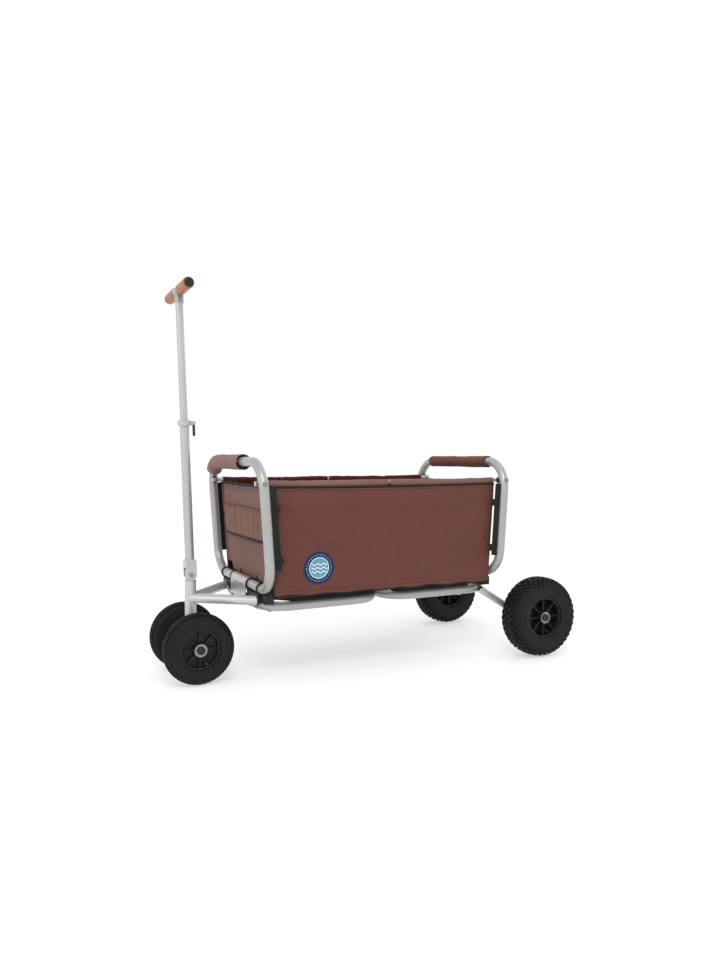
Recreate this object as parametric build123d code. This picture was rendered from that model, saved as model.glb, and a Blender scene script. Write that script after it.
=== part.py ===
"""Folding beach cart: a cloth tub on two tube end frames, four wheels and a telescoping drawbar.

Frame: +X forward (drawbar end), +Y left, +Z up, ground at z = 0, millimetres. The working origin lies
midway between the end frames' bottom bars; every part is shifted by CENTRE_SHIFT when it is written, so
that the whole cart is centred on x = 0.
"""
from build123d import *
import os
from math import cos, hypot, radians, sin, sqrt

os.makedirs("parts", exist_ok=True)

# Driving sizes --------------------------------------------------------------------------------------
TUBE_D = 28.0                 # frame tube
TUBE_WALL = 1.5
PIVOT_GAP = 0.3               # radial clearance of a turning fit
SLIDE_GAP = 0.3               # radial clearance of the drawbar slide

FRAME_X = 388.0               # end frame's bottom bar, from the middle of the cart
FRAME_Z = 277.0
FRAME_HALF_W = 263.0
FRAME_HEIGHT = 366.0          # along the leaning plane
FRAME_LEAN = 4.0              # degrees outward
FRAME_TOP_R = 90.0
FRAME_BOTTOM_R = 80.0

BASE_Z = 224.5
BASE_HALF_W = 201.0
BASE_END_X = 385.0
BASE_INNER_X = 18.0
BASE_CORNER_R = 78.0

RAIL_D = 14.0
RAIL_Y = 226.0
RAIL_HEIGHT = 304.6           # rail pivot, along the end frame's plane
RAIL_OVERHANG = 14.0
RAIL_END_GAP = 1.5            # half of the gap between the two rail halves
RAIL_SLEEVE_D = 19.0
RAIL_SLEEVE_BACK = 5.5        # cloth sleeve, short of the end of its rail
BOLT_D = 6.0

FLOOR_THICK = 8.0
CLOTH_THICK = 4.0
PANEL_OFFSET = 21.0           # cloth panel, inboard of the end frame's plane
PANEL_HALF_W = 214.0
PANEL_TOP = 300.0
PANEL_BOTTOM = 9.0

REAR_WHEEL_D = 260.0
REAR_WHEEL_W = 85.0
REAR_AXLE_X = -537.6
REAR_TRACK_HALF = 280.0
LEG_D = 24.0
LEG_Y = 203.0

FRONT_WHEEL_D = 206.0
FRONT_WHEEL_W = 60.0
HEAD_X = 551.0
FRONT_TRACK_HALF = 94.0
AXLE_D = 12.0

HEAD_TUBE_D = 34.0
STEM_D = 30.0
YOKE_BOLT_Z = 304.5
DRAWBAR_LEAN = 1.95           # degrees forward
LOWER_TUBE_D = 27.0
UPPER_TUBE_D = 22.4
COLLAR_Z = 456.0              # along the drawbar, from the yoke bolt
GRIP_Z = 839.6
GRIP_D = 32.5
GRIP_LENGTH = 100.0
GRIP_SPAN = 264.0

# Derived sizes --------------------------------------------------------------------------------------
TUBE_R = TUBE_D / 2
REAR_AXLE_Z = REAR_WHEEL_D / 2
FRONT_AXLE_Z = FRONT_WHEEL_D / 2
RAIL_X = FRAME_X + RAIL_HEIGHT * sin(radians(FRAME_LEAN))
RAIL_Z = FRAME_Z + RAIL_HEIGHT * cos(radians(FRAME_LEAN))
FLOOR_Z = BASE_Z + TUBE_R + 0.2
REAR_EDGE = REAR_AXLE_X - REAR_WHEEL_D / 2
FRONT_EDGE = HEAD_X + FRONT_WHEEL_D / 2
CENTRE_SHIFT = -(REAR_EDGE + FRONT_EDGE) / 2

SIDES = {"left": 1, "right": -1}
SHIFT = Pos(CENTRE_SHIFT, 0, 0)


def save(name, *solids):
    """Write one node: its solids, moved to the cart's frame."""
    placed = [SHIFT * s for shape in solids for s in shape.solids()]
    shape = placed[0] if len(placed) == 1 else Compound(children=placed)
    export_step(shape, f"parts/{name}.step")


def both_sides(shape):
    """A shape and its mirror image across the cart's middle plane."""
    return [shape, mirror(shape, about=Plane.XZ)]


def rearward(shape):
    """The same shape at the cart's other end."""
    return mirror(shape, about=Plane.YZ)


def on_end_frame(shape):
    """Local (x outward, y, z up the frame) to the leaning front end frame."""
    return Pos(FRAME_X, 0, FRAME_Z) * Rot(0, FRAME_LEAN, 0) * shape


def on_drawbar(shape):
    """Local (z up the drawbar from the yoke bolt) to the leaning drawbar."""
    return Pos(HEAD_X, 0, YOKE_BOLT_Z) * Rot(0, DRAWBAR_LEAN, 0) * shape


def block(x0, x1, y0, y1, z0, z1):
    """A box between two corners."""
    return Pos((x0 + x1) / 2, (y0 + y1) / 2, (z0 + z1) / 2) * Box(x1 - x0, y1 - y0, z1 - z0)


def rod_y(radius, y0, y1, x=0.0, z=0.0):
    """A cylinder along Y."""
    return Pos(x, (y0 + y1) / 2, z) * Rot(90, 0, 0) * Cylinder(radius, abs(y1 - y0))


def rod_z(radius, z0, z1, x=0.0, y=0.0):
    """A cylinder along Z."""
    return Pos(x, y, (z0 + z1) / 2) * Cylinder(radius, z1 - z0)


def rod_x(radius, x0, x1, y=0.0, z=0.0):
    """A cylinder along X."""
    return Pos((x0 + x1) / 2, y, z) * Rot(0, 90, 0) * Cylinder(radius, abs(x1 - x0))


def rod_between(a, b, radius):
    """A cylinder from point a to point b."""
    line = Line(a, b)
    return sweep(Plane(origin=a, z_dir=line % 0) * Circle(radius), path=line)


def swept(path, radius):
    """A round bar along a path."""
    return sweep(Plane(origin=path @ 0, z_dir=path % 0) * Circle(radius), path=path)


def tube(path, outer_r, wall):
    """A round tube along a path."""
    return swept(path, outer_r) - swept(path, outer_r - wall)


def spun(profile_face):
    """Revolve an (x = radius, z = along the axis) face into a wheel part whose axis is Y."""
    return Rot(90, 0, 0) * revolve(profile_face, Axis.Z, 360)


# End frames -----------------------------------------------------------------------------------------
def frame_path():
    """The end frame's centre line: a rounded rectangle in its own plane."""
    w = FRAME_HALF_W
    h = FRAME_HEIGHT
    corners = [(0, -w, 0), (0, w, 0), (0, w, h), (0, -w, h)]
    radii = [FRAME_BOTTOM_R, FRAME_BOTTOM_R, FRAME_TOP_R, FRAME_TOP_R]
    return FilletPolyline(*corners, radius=radii, close=True)


def end_frame():
    """The closed tube loop, drilled at both posts for the rail bolts."""
    loop = tube(frame_path(), TUBE_R, TUBE_WALL)
    w = FRAME_HALF_W + TUBE_D
    hole = rod_y(BOLT_D / 2 + 0.1, -w, w, 0, RAIL_HEIGHT)
    return on_end_frame(loop - hole)


def handle_sleeve(outer_d, near_y, far_y):
    """A soft sleeve on the top bar, from near_y to far_y, round the bend where it reaches it."""
    straight = FRAME_HALF_W - FRAME_TOP_R
    end = max(far_y, -straight)
    path = Line((0, near_y, FRAME_HEIGHT), (0, end, FRAME_HEIGHT))
    inner = TUBE_R + PIVOT_GAP
    sleeve = swept(path, outer_d / 2) - swept(path, inner)
    if far_y < -straight:
        turn = (-far_y - straight) / FRAME_TOP_R
        angle = Vector(sqrt(1 - turn * turn), turn, 0).get_angle(Vector(1, 0, 0))
        bend = Plane.YZ * CenterArc((-straight, FRAME_HEIGHT - FRAME_TOP_R), FRAME_TOP_R, 90, angle)
        sleeve += swept(bend, outer_d / 2) - swept(bend, inner)
    return on_end_frame(sleeve)


ARM_Y = 80.0                  # inner arm of a hinge bracket
OUTER_ARM_Y = 178.0
ARM_THICK = 5.0
RING_WALL = 4.0


def end_panel():
    """The tub's end cloth, cut out below where the hinge brackets swing through when the cart folds."""
    x = -PANEL_OFFSET
    half = CLOTH_THICK / 2
    panel = block(x - half, x + half, -PANEL_HALF_W, PANEL_HALF_W, PANEL_BOTTOM, PANEL_TOP)
    for side in SIDES.values():
        arm_gap = Pos(x, side * ARM_Y, PANEL_BOTTOM) * Box(20, ARM_THICK + 4, 24)
        corner = Pos(x, side * (OUTER_ARM_Y + 22), PANEL_BOTTOM) * Box(20, 54, 46)
        panel = panel - arm_gap - corner
    return on_end_frame(panel)


STRIP_WIDTH = 20.0
STRIP_THICK = 3.0
STRIP_LOW = 61.0
STRIP_HIGH = 293.0
TAB_HEIGHTS = (86.0, 231.0)


def side_strip():
    """The left post's stiffening strip with two loop tabs on its inboard edge."""
    edge = -TUBE_R
    y0 = FRAME_HALF_W - 1
    strip = block(edge - STRIP_WIDTH, edge, y0, y0 + STRIP_THICK, STRIP_LOW, STRIP_HIGH)
    strip = fillet(strip.edges().filter_by(Axis.Y), 4)
    for height in TAB_HEIGHTS:
        strip += Pos(edge - STRIP_WIDTH, y0 + STRIP_THICK / 2, height) * Box(14, STRIP_THICK + 3, 22)
    return on_end_frame(strip)


def side_panel():
    """The left side cloth, with a short return at each end that meets the end cloth."""
    inner_y = RAIL_Y + RAIL_SLEEVE_D / 2 + 0.5
    low = FRAME_Z - 25
    reach = FRAME_X + FRAME_HEIGHT
    front_face = -PANEL_OFFSET + CLOTH_THICK / 2
    wall = block(-FRAME_X - 40, FRAME_X + 40, inner_y, inner_y + CLOTH_THICK, low, RAIL_Z)
    beyond = on_end_frame(block(front_face, reach, 0, reach, -reach, reach))
    back_face = front_face - CLOTH_THICK
    corner = on_end_frame(block(back_face, front_face, PANEL_HALF_W + 0.5, inner_y + 1, 34, PANEL_TOP - 12))
    wall = wall - beyond - rearward(beyond)
    return wall + corner + rearward(corner)


def post_face(bend_radius):
    """Y of the post's inner or outer face at the rail bolt, where the top bend has begun."""
    rise = RAIL_HEIGHT - (FRAME_HEIGHT - FRAME_TOP_R)
    return FRAME_HALF_W - FRAME_TOP_R + sqrt(bend_radius**2 - max(rise, 0) ** 2)


def rail_spacer():
    """The black spacer between the left post and its rail."""
    y0 = RAIL_Y + RAIL_D / 2 + 0.2
    y1 = post_face(FRAME_TOP_R - TUBE_R) + 6
    body = rod_y(11, y0, y1, 0, RAIL_HEIGHT) - rod_y(BOLT_D / 2 + 0.1, y0 - 1, y1 + 1, 0, RAIL_HEIGHT)
    body -= swept(frame_path(), TUBE_R)
    return on_end_frame(min(body.solids(), key=lambda s: abs(s.center().Y - y0)))


def rail_bolt():
    """The left rail's pivot bolt, through rail, spacer and post, with a round head at each end."""
    y0 = RAIL_Y - RAIL_D / 2
    y1 = post_face(FRAME_TOP_R + TUBE_R)
    shank = rod_y(BOLT_D / 2, y0 - 1, y1 + 1, 0, RAIL_HEIGHT)
    inner_head = rod_y(5.5, y0 - 3.5, y0 - 0.3, 0, RAIL_HEIGHT)
    outer_head = rod_y(6.5, y1 - 2, y1 + 3.6, 0, RAIL_HEIGHT) - swept(frame_path(), TUBE_R + 0.05)
    return on_end_frame(shank + inner_head + outer_head)


def build_end_frame(end, place):
    """Everything that rides one end frame."""
    sleeve = {"front": (50.0, 90.0, -238.0), "rear": (41.0, 167.0, -173.0)}[end]
    save(f"{end}_end_frame", place(end_frame()))
    save(f"{end}_handle_sleeve", place(handle_sleeve(*sleeve)))
    save(f"{end}_panel", place(end_panel()))
    save(f"{end}_side_strips", *[place(s) for s in both_sides(side_strip())])
    save(f"{end}_rail_spacers", *[place(s) for s in both_sides(rail_spacer())])
    save(f"{end}_rail_bolts", *[place(s) for s in both_sides(rail_bolt())])


# Rails ----------------------------------------------------------------------------------------------
def rail_half():
    """The front left rail half: a capped tube from just past the post to the cart's middle."""
    r = RAIL_D / 2
    outer = rod_x(r, RAIL_END_GAP, RAIL_X + RAIL_OVERHANG, RAIL_Y, RAIL_Z)
    bore = rod_x(r - 1.2, 4, RAIL_X + RAIL_OVERHANG - 3, RAIL_Y, RAIL_Z)
    return outer - bore - rod_y(BOLT_D / 2 + PIVOT_GAP, RAIL_Y - r - 1, RAIL_Y + r + 1, RAIL_X, RAIL_Z)


def rail_sleeve():
    """The cloth sleeve on the front left rail half."""
    x1 = RAIL_X - 24
    outer = rod_x(RAIL_SLEEVE_D / 2, RAIL_END_GAP + RAIL_SLEEVE_BACK, x1, RAIL_Y, RAIL_Z)
    return outer - rod_x(RAIL_D / 2 + 0.2, 0, x1 + 1, RAIL_Y, RAIL_Z)


def build_rails():
    """Four rail halves with their sleeves."""
    for piece, shape in {"rail": rail_half(), "rail_sleeve": rail_sleeve()}.items():
        for end, place in ENDS.items():
            for side, part in zip(SIDES, both_sides(shape)):
                save(f"{end}_{side}_{piece}", place(part))


# Base -----------------------------------------------------------------------------------------------
def base_path():
    """The front base loop's centre line."""
    w = BASE_HALF_W
    inner = [(BASE_INNER_X, w, BASE_Z), (BASE_INNER_X, -w, BASE_Z)]
    outer = [(BASE_END_X, -w, BASE_Z), (BASE_END_X, w, BASE_Z)]
    return FilletPolyline(*inner, *outer, radius=BASE_CORNER_R, close=True)


def base_loop():
    """The closed base tube, with a weld vent under each side."""
    w = BASE_HALF_W
    vent = rod_z(2.5, BASE_Z - TUBE_D, BASE_Z, 200, w) + rod_z(2.5, BASE_Z - TUBE_D, BASE_Z, 200, -w)
    return tube(base_path(), TUBE_R, TUBE_WALL) - vent


def arm(y, base_x):
    """One arm of a hinge bracket: a plate from the end frame's bar to the base tube."""
    top = rod_y(TUBE_R + RING_WALL, y - ARM_THICK / 2, y + ARM_THICK / 2, FRAME_X, FRAME_Z)
    foot = rod_y(TUBE_R + 2, y - ARM_THICK / 2, y + ARM_THICK / 2, base_x, BASE_Z)
    length = hypot(FRAME_X - base_x, FRAME_Z - BASE_Z)
    tilt = Vector(0, 0, 1).get_angle(Vector(FRAME_X - base_x, 0, FRAME_Z - BASE_Z))
    at_middle = Pos((FRAME_X + base_x) / 2, y, (FRAME_Z + BASE_Z) / 2) * Rot(0, tilt, 0)
    return top + foot + at_middle * Box(TUBE_D, ARM_THICK, length)


def hinge_bracket():
    """The left hinge bracket: two arms that ring the end frame's bar, a web and a corner block."""
    corner_rise = BASE_CORNER_R - sqrt(BASE_CORNER_R**2 - (OUTER_ARM_Y - BASE_HALF_W + BASE_CORNER_R) ** 2)
    bracket = arm(ARM_Y, BASE_END_X) + arm(OUTER_ARM_Y, BASE_END_X - corner_rise)
    bracket += block(FRAME_X - 6, FRAME_X + 11, ARM_Y, OUTER_ARM_Y, FLOOR_Z, FRAME_Z - 16)
    bracket += block(FRAME_X - 26, FRAME_X + 2, OUTER_ARM_Y, OUTER_ARM_Y + 32, BASE_Z + 11, FRAME_Z - 15)
    bar = rod_y(TUBE_R + PIVOT_GAP, 0, FRAME_HALF_W, FRAME_X, FRAME_Z)
    return bracket - bar - swept(base_path(), TUBE_R)


def floor_board():
    """The stiff board on the front base loop."""
    corners_x0 = BASE_INNER_X + 20
    x1 = FRAME_X - 26
    board = block(corners_x0, x1, -BASE_HALF_W - 9, BASE_HALF_W + 9, FLOOR_Z, FLOOR_Z + FLOOR_THICK)
    outer_edges = board.edges().filter_by(Axis.Z).sort_by(Axis.X)[-2:]
    return chamfer(outer_edges, 62)


CLAMP_Y = 96.0
CLAMP_WIDTH = 16.0


def centre_clamp():
    """The left clamp that links the two base loops and lets both turn in it."""
    y0 = CLAMP_Y - CLAMP_WIDTH / 2
    y1 = CLAMP_Y + CLAMP_WIDTH / 2
    radius = TUBE_R + 3
    body = block(-BASE_INNER_X, BASE_INNER_X, y0, y1, BASE_Z - radius, BASE_Z + radius)
    for x in (-BASE_INNER_X, BASE_INNER_X):
        body += rod_y(radius, y0, y1, x, BASE_Z)
    for x in (-BASE_INNER_X, BASE_INNER_X):
        body -= rod_y(TUBE_R + PIVOT_GAP, 0, CLAMP_Y + CLAMP_WIDTH, x, BASE_Z)
    return body


def build_base(end, place):
    """The base loop, its brackets and its board."""
    save(f"{end}_base_loop", place(base_loop()))
    save(f"{end}_hinge_brackets", *[place(s) for s in both_sides(hinge_bracket())])
    save(f"{end}_floor_board", place(floor_board()))


# Front fork -----------------------------------------------------------------------------------------
PLATE_HALF_W = 74.0
PLATE_THICK = 2.5
HEAD_LOW = 190.0
HEAD_HIGH = 287.0


def centre_plate():
    """The bright plate that wraps the front bottom bar and runs down to the base tube."""
    w = PLATE_HALF_W
    r = TUBE_R + PIVOT_GAP
    shell = rod_y(r + PLATE_THICK, -w, w, FRAME_X, FRAME_Z) - rod_y(r, -w - 1, w + 1, FRAME_X, FRAME_Z)
    shell -= block(FRAME_X - 30, FRAME_X + 30, -w - 1, w + 1, FRAME_Z - 30, FRAME_Z)
    front = FRAME_X + r
    plate = shell + block(front, front + PLATE_THICK, -w, w, BASE_Z + 4, FRAME_Z)
    plate += block(BASE_END_X, front + 1, -w, w, BASE_Z + 4, BASE_Z + 4 + PLATE_THICK)
    for side in SIDES.values():
        plate -= block(front - 1, front + 5, side * 26 - 8, side * 26 + 8, FRAME_Z - 10, FRAME_Z - 7)
    return plate - swept(base_path(), TUBE_R)


def v_tube():
    """The left tube of the fork's V, from the steering head to the hinge bracket."""
    far_x = BASE_END_X - 30
    slope = (150.0 - 4.0) / (HEAD_X - FRAME_X - 11)
    far = (far_x, 4 + slope * (HEAD_X - far_x), BASE_Z + 16)
    near = (HEAD_X, 4, BASE_Z + 10)
    solid = rod_between(near, far, TUBE_R) - rod_between(near, far, TUBE_R - TUBE_WALL)
    solid -= rod_z(HEAD_TUBE_D / 2, 0, 400, HEAD_X)
    solid -= block(0, FRAME_X + 11.2, -400, 400, 0, 400)
    solid -= block(0, 700, -400, 0.1, 0, 400)
    return max(solid.solids(), key=lambda s: s.volume)


def head_tube():
    """The steering head."""
    return rod_z(HEAD_TUBE_D / 2, HEAD_LOW, HEAD_HIGH, HEAD_X) - rod_z(STEM_D / 2 + PIVOT_GAP, 0, 400, HEAD_X)


def build_front_fork():
    """Centre plate, V tubes and steering head."""
    save("centre_plate", centre_plate())
    save("v_tubes", *both_sides(v_tube()))
    save("head_tube", head_tube())


# Rear legs ------------------------------------------------------------------------------------------
def rear_leg():
    """The left rear leg: down from the base tube, then flatter to the wheel."""
    points = [(-352, LEG_Y, 225), (-470, LEG_Y, 152), (REAR_AXLE_X - 14, LEG_Y, REAR_AXLE_Z)]
    path = FilletPolyline(*points, radius=120)
    leg = tube(path, LEG_D / 2, TUBE_WALL)
    leg -= rearward(swept(base_path(), TUBE_R))
    leg -= block(-360, 0, 0, 300, BASE_Z, 400)
    leg -= rod_y(AXLE_D / 2 + 0.1, 0, 300, REAR_AXLE_X, REAR_AXLE_Z)
    return max(leg.solids(), key=lambda s: s.volume)


def stub_axle():
    """The left rear wheel's stub axle, with a collar against the leg and one against the hub."""
    outer = REAR_TRACK_HALF + REAR_WHEEL_W / 2 - 6
    y0 = LEG_Y - LEG_D / 2
    axle = rod_y(AXLE_D / 2, y0 - 5, outer, REAR_AXLE_X, REAR_AXLE_Z)
    axle += rod_y(10, y0 - 5, y0 - 0.1, REAR_AXLE_X, REAR_AXLE_Z)
    return axle + rod_y(9, LEG_Y + LEG_D / 2 + 0.1, REAR_TRACK_HALF - 36.5, REAR_AXLE_X, REAR_AXLE_Z)


def build_rear_legs():
    """Two legs and two stub axles."""
    save("rear_legs", *both_sides(rear_leg()))
    save("rear_stub_axles", *both_sides(stub_axle()))


# Wheels ---------------------------------------------------------------------------------------------
HUB_R = 18.5
CAP_R = 12.0
SPOKES = 8


def tyre(diameter, width, rim_r):
    """A tyre carcass, hollow and open towards the rim."""
    corner = (diameter / 2 - rim_r) * 0.39
    mouth = width / 2 - 17
    past_flat = max(mouth - width / 2 + corner, 0)
    low = rim_r - corner + sqrt(corner**2 - past_flat**2)
    depth = diameter / 2 - low
    middle = low + depth / 2
    outer = RectangleRounded(depth, width, corner)
    inner = RectangleRounded(depth - 12, width - 16, corner * 0.58)
    profile = Plane.XZ * (Pos(middle, 0) * outer - Pos(middle - 1, 0) * inner)
    profile -= Plane.XZ * (Pos(low + 4, 0) * Rectangle(14, 2 * mouth))
    return spun(profile)


def rim(width, rim_r, hub_half):
    """A rim with its barrel, ribbed disc and hub, bored for the bearings."""
    half = width / 2 - 10
    barrel = Plane.XZ * (Pos(rim_r - 2.5, 0) * Rectangle(4.6, 2 * half))
    disc = Plane.XZ * (Pos((rim_r + HUB_R) / 2 - 1, 0) * Rectangle(rim_r - HUB_R, 5))
    hub = Plane.XZ * (Pos((HUB_R + BEARING_R) / 2, 0) * Rectangle(HUB_R - BEARING_R, 2 * hub_half))
    body = spun(barrel) + spun(disc) + spun(hub)
    for k in range(SPOKES):
        rib = Pos((rim_r + HUB_R) / 2 - 1.5, 0, 0) * Box(rim_r - HUB_R - 2, 2 * half - 14, 3.5)
        body += Rot(0, 360 / SPOKES * k, 0) * rib
    return body


BEARING_R = 14.0
BEARING_WIDTH = 9.0


def bearing(hub_half):
    """A flanged hub bearing at the hub's +Y end."""
    ring = rod_y(BEARING_R - 0.05, hub_half - BEARING_WIDTH, hub_half)
    ring += rod_y(HUB_R, hub_half, hub_half + 2.5)
    return ring - rod_y(AXLE_D / 2 + 0.15, 0, hub_half + 9)


def wheel(name, diameter, width, rim_r, hub_half, centre):
    """Write one wheel's tyre, rim and bearings."""
    at = Pos(*centre)
    save(f"{name}_tyre", at * tyre(diameter, width, rim_r))
    save(f"{name}_rim", at * rim(width, rim_r, hub_half))
    save(f"{name}_bearings", *[at * s for s in both_sides(bearing(hub_half))])


def build_wheels():
    """Two small front wheels and two large rear wheels."""
    for side, sign in SIDES.items():
        front = (HEAD_X, sign * FRONT_TRACK_HALF, FRONT_AXLE_Z)
        rear = (REAR_AXLE_X, sign * REAR_TRACK_HALF, REAR_AXLE_Z)
        wheel(f"front_{side}", FRONT_WHEEL_D, FRONT_WHEEL_W, 58.0, 26.0, front)
        wheel(f"rear_{side}", REAR_WHEEL_D, REAR_WHEEL_W, 66.0, 34.0, rear)


# Steering -------------------------------------------------------------------------------------------
def steering_column():
    """The stem inside the head, with the thicker crown below that holds the front axle."""
    stem = rod_z(STEM_D / 2, HEAD_LOW - 1, YOKE_BOLT_Z + 14, HEAD_X)
    crown = rod_z(HEAD_TUBE_D / 2, FRONT_AXLE_Z - 16, HEAD_LOW - 0.5, HEAD_X)
    column = stem + crown - rod_z(STEM_D / 2 - 4, FRONT_AXLE_Z + 20, YOKE_BOLT_Z + 30, HEAD_X)
    column -= rod_y(AXLE_D / 2 + 0.1, -40, 40, HEAD_X, FRONT_AXLE_Z)
    return column - rod_y(4.1, -40, 40, HEAD_X, YOKE_BOLT_Z)


def axle_cap(y0, x, z):
    """The dark cap on an axle's end, standing in the bright ring of the hub."""
    return rod_y(CAP_R, y0 + 0.2, y0 + 4.2, x, z)


def build_steering():
    """Column, axle, caps and the yoke's bolt."""
    end = FRONT_TRACK_HALF + 26 + 2.5
    axle = rod_y(AXLE_D / 2, -end, end, HEAD_X, FRONT_AXLE_Z)
    for sign in SIDES.values():
        axle += rod_y(9, sign * 17.3, sign * (FRONT_TRACK_HALF - 29), HEAD_X, FRONT_AXLE_Z)
    save("steering_column", steering_column())
    save("front_axle", axle)
    save("front_axle_caps", *both_sides(axle_cap(end, HEAD_X, FRONT_AXLE_Z)))
    bolt = rod_y(4, -YOKE_OUTER - 5, YOKE_OUTER + 5, HEAD_X, YOKE_BOLT_Z)
    for sign in SIDES.values():
        bolt += rod_y(7, sign * (YOKE_OUTER + 0.3), sign * (YOKE_OUTER + 5), HEAD_X, YOKE_BOLT_Z)
    save("yoke_bolt", bolt)


# Drawbar --------------------------------------------------------------------------------------------
YOKE_OUTER = 19.0
YOKE_INNER = 15.4
YOKE_HALF_X = 16.0
YOKE_TOP = 46.0
YOKE_POCKET = 22.0


def yoke():
    """The fork at the drawbar's foot: two cheeks round the stem and a socket for the tube."""
    body = block(-YOKE_HALF_X, YOKE_HALF_X, -YOKE_OUTER, YOKE_OUTER, 0, YOKE_TOP)
    body = chamfer(body.edges().group_by(Axis.Z)[-1], 4)
    body += rod_y(YOKE_HALF_X, -YOKE_OUTER, YOKE_OUTER)
    pocket = block(-40, 40, -YOKE_INNER, YOKE_INNER, -40, YOKE_POCKET)
    socket = rod_z(LOWER_TUBE_D / 2 + 0.1, YOKE_POCKET + 4, 2 * YOKE_TOP)
    return on_drawbar(body - pocket - socket - rod_y(4.1, -40, 40))


def lower_tube():
    """The drawbar's lower tube."""
    low = YOKE_POCKET + 4.2
    bore = rod_z(UPPER_TUBE_D / 2 + SLIDE_GAP, 0, COLLAR_Z + 9)
    return on_drawbar(rod_z(LOWER_TUBE_D / 2, low, COLLAR_Z) - bore)


EAR_X = -26.0


def clamp_collar():
    """The collar on the lower tube's mouth, with two ears behind it and the lever's pin."""
    low = COLLAR_Z - 12
    high = COLLAR_Z + 4
    body = rod_z(19, low, high)
    for side in SIDES.values():
        body += block(EAR_X - 5, -12, side * 8 - 3, side * 8 + 3, low + 2, high - 2)
    body -= rod_z(LOWER_TUBE_D / 2 + 0.05, low - 1, COLLAR_Z + 0.1)
    body -= rod_z(UPPER_TUBE_D / 2 + SLIDE_GAP, COLLAR_Z, high + 1)
    pin = rod_y(3, -16, 16, EAR_X, COLLAR_Z - 4)
    pin += rod_y(5.5, 11.2, 16, EAR_X, COLLAR_Z - 4)
    body -= rod_y(3.05, -40, 40, EAR_X, COLLAR_Z - 4)
    return [on_drawbar(body), on_drawbar(pin)]


def clamp_lever():
    """The cam lever between the collar's ears, hanging down behind the tube."""
    z = COLLAR_Z - 4
    body = rod_y(5, -4.6, 4.6, EAR_X, z) + block(EAR_X - 5, EAR_X + 1, -4.6, 4.6, z - 36, z)
    body = body + rod_y(3, -4.6, 4.6, EAR_X - 2, z - 36)
    return on_drawbar(body - rod_y(3.2, -20, 20, EAR_X, z))


UPPER_LOW = 372.0


def upper_tube():
    """The drawbar's sliding upper tube."""
    bore = rod_z(UPPER_TUBE_D / 2 - TUBE_WALL, 0, GRIP_Z)
    return on_drawbar(rod_z(UPPER_TUBE_D / 2, UPPER_LOW, GRIP_Z - 15.2) - bore)


def t_socket():
    """The T socket with the cross bar that carries the grips."""
    socket = rod_z(13.5, GRIP_Z - 34, GRIP_Z) - rod_z(UPPER_TUBE_D / 2 + 0.05, GRIP_Z - 40, GRIP_Z - 15)
    socket += rod_y(14.5, -24, 24, 0, GRIP_Z)
    inner = GRIP_SPAN / 2 - 3
    return on_drawbar(socket + rod_y(10, -inner, inner, 0, GRIP_Z))


def grips():
    """Two wood-tone grips, slightly fuller at mid length."""
    y0 = 25.0
    y1 = y0 + GRIP_LENGTH
    grip = rod_y(GRIP_D / 2, y0, y1, 0, GRIP_Z)
    grip = fillet(grip.edges(), 3) - rod_y(10.1, 0, 300, 0, GRIP_Z)
    return [on_drawbar(s) for s in both_sides(grip)]


def grip_caps():
    """The black caps beyond the grips."""
    y0 = 25.2 + GRIP_LENGTH
    cap = rod_y(12.5, y0, GRIP_SPAN / 2, 0, GRIP_Z)
    cap = fillet(cap.edges().group_by(Axis.Y)[-1], 2) - rod_y(10.1, 0, GRIP_SPAN / 2 - 3, 0, GRIP_Z)
    return [on_drawbar(s) for s in both_sides(cap)]


def build_drawbar():
    """Yoke, tubes, collar, lever, socket, grips and caps."""
    save("drawbar_yoke", yoke())
    save("drawbar_lower_tube", lower_tube())
    save("clamp_collar", *clamp_collar())
    save("clamp_lever", clamp_lever())
    save("drawbar_upper_tube", upper_tube())
    save("t_socket", t_socket())
    save("grips", *grips())
    save("grip_caps", *grip_caps())


# Cloth tub ------------------------------------------------------------------------------------------
FLAP_TOP = 224.0
FLAP_HEIGHT = 92.0
FLAP_HALF_W = 200.0


def pocket_flap():
    """The flap on the front panel, hinged along its top seam."""
    x = -PANEL_OFFSET + CLOTH_THICK / 2 + 0.4
    flap = block(x, x + 2.5, -FLAP_HALF_W, FLAP_HALF_W, FLAP_TOP - FLAP_HEIGHT, FLAP_TOP)
    low_corners = flap.edges().filter_by(Axis.X).group_by(Axis.Z)[0]
    return on_end_frame(fillet(low_corners, 30))


def build_cloth():
    """Side panels and the pocket flap."""
    for side, part in zip(SIDES, both_sides(side_panel())):
        save(f"{side}_side_panel", part)
    save("pocket_flap", pocket_flap())


ENDS = {"front": lambda shape: shape, "rear": rearward}

for end_name, place_end in ENDS.items():
    build_end_frame(end_name, place_end)
    build_base(end_name, place_end)
build_rails()
build_front_fork()
build_rear_legs()
build_wheels()
build_steering()
build_drawbar()
build_cloth()
save("centre_clamps", *both_sides(centre_clamp()))
rear_cap_y = REAR_TRACK_HALF + REAR_WHEEL_W / 2 - 6
save("rear_axle_caps", *both_sides(axle_cap(rear_cap_y, REAR_AXLE_X, REAR_AXLE_Z)))

print("shift", round(CENTRE_SHIFT, 3), "rail pivot", round(RAIL_X, 3), round(RAIL_Z, 3))
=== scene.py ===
"""Looks of a folding beach cart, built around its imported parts.

Lengths are in metres. X points forward to the drawbar, Y to the cart's left, Z up.
"""

import logging
import math
from dataclasses import dataclass, field
from enum import Enum
from functools import cache
from typing import Callable, Iterable, Sequence

import bmesh
import bpy
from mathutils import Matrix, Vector, noise


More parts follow.
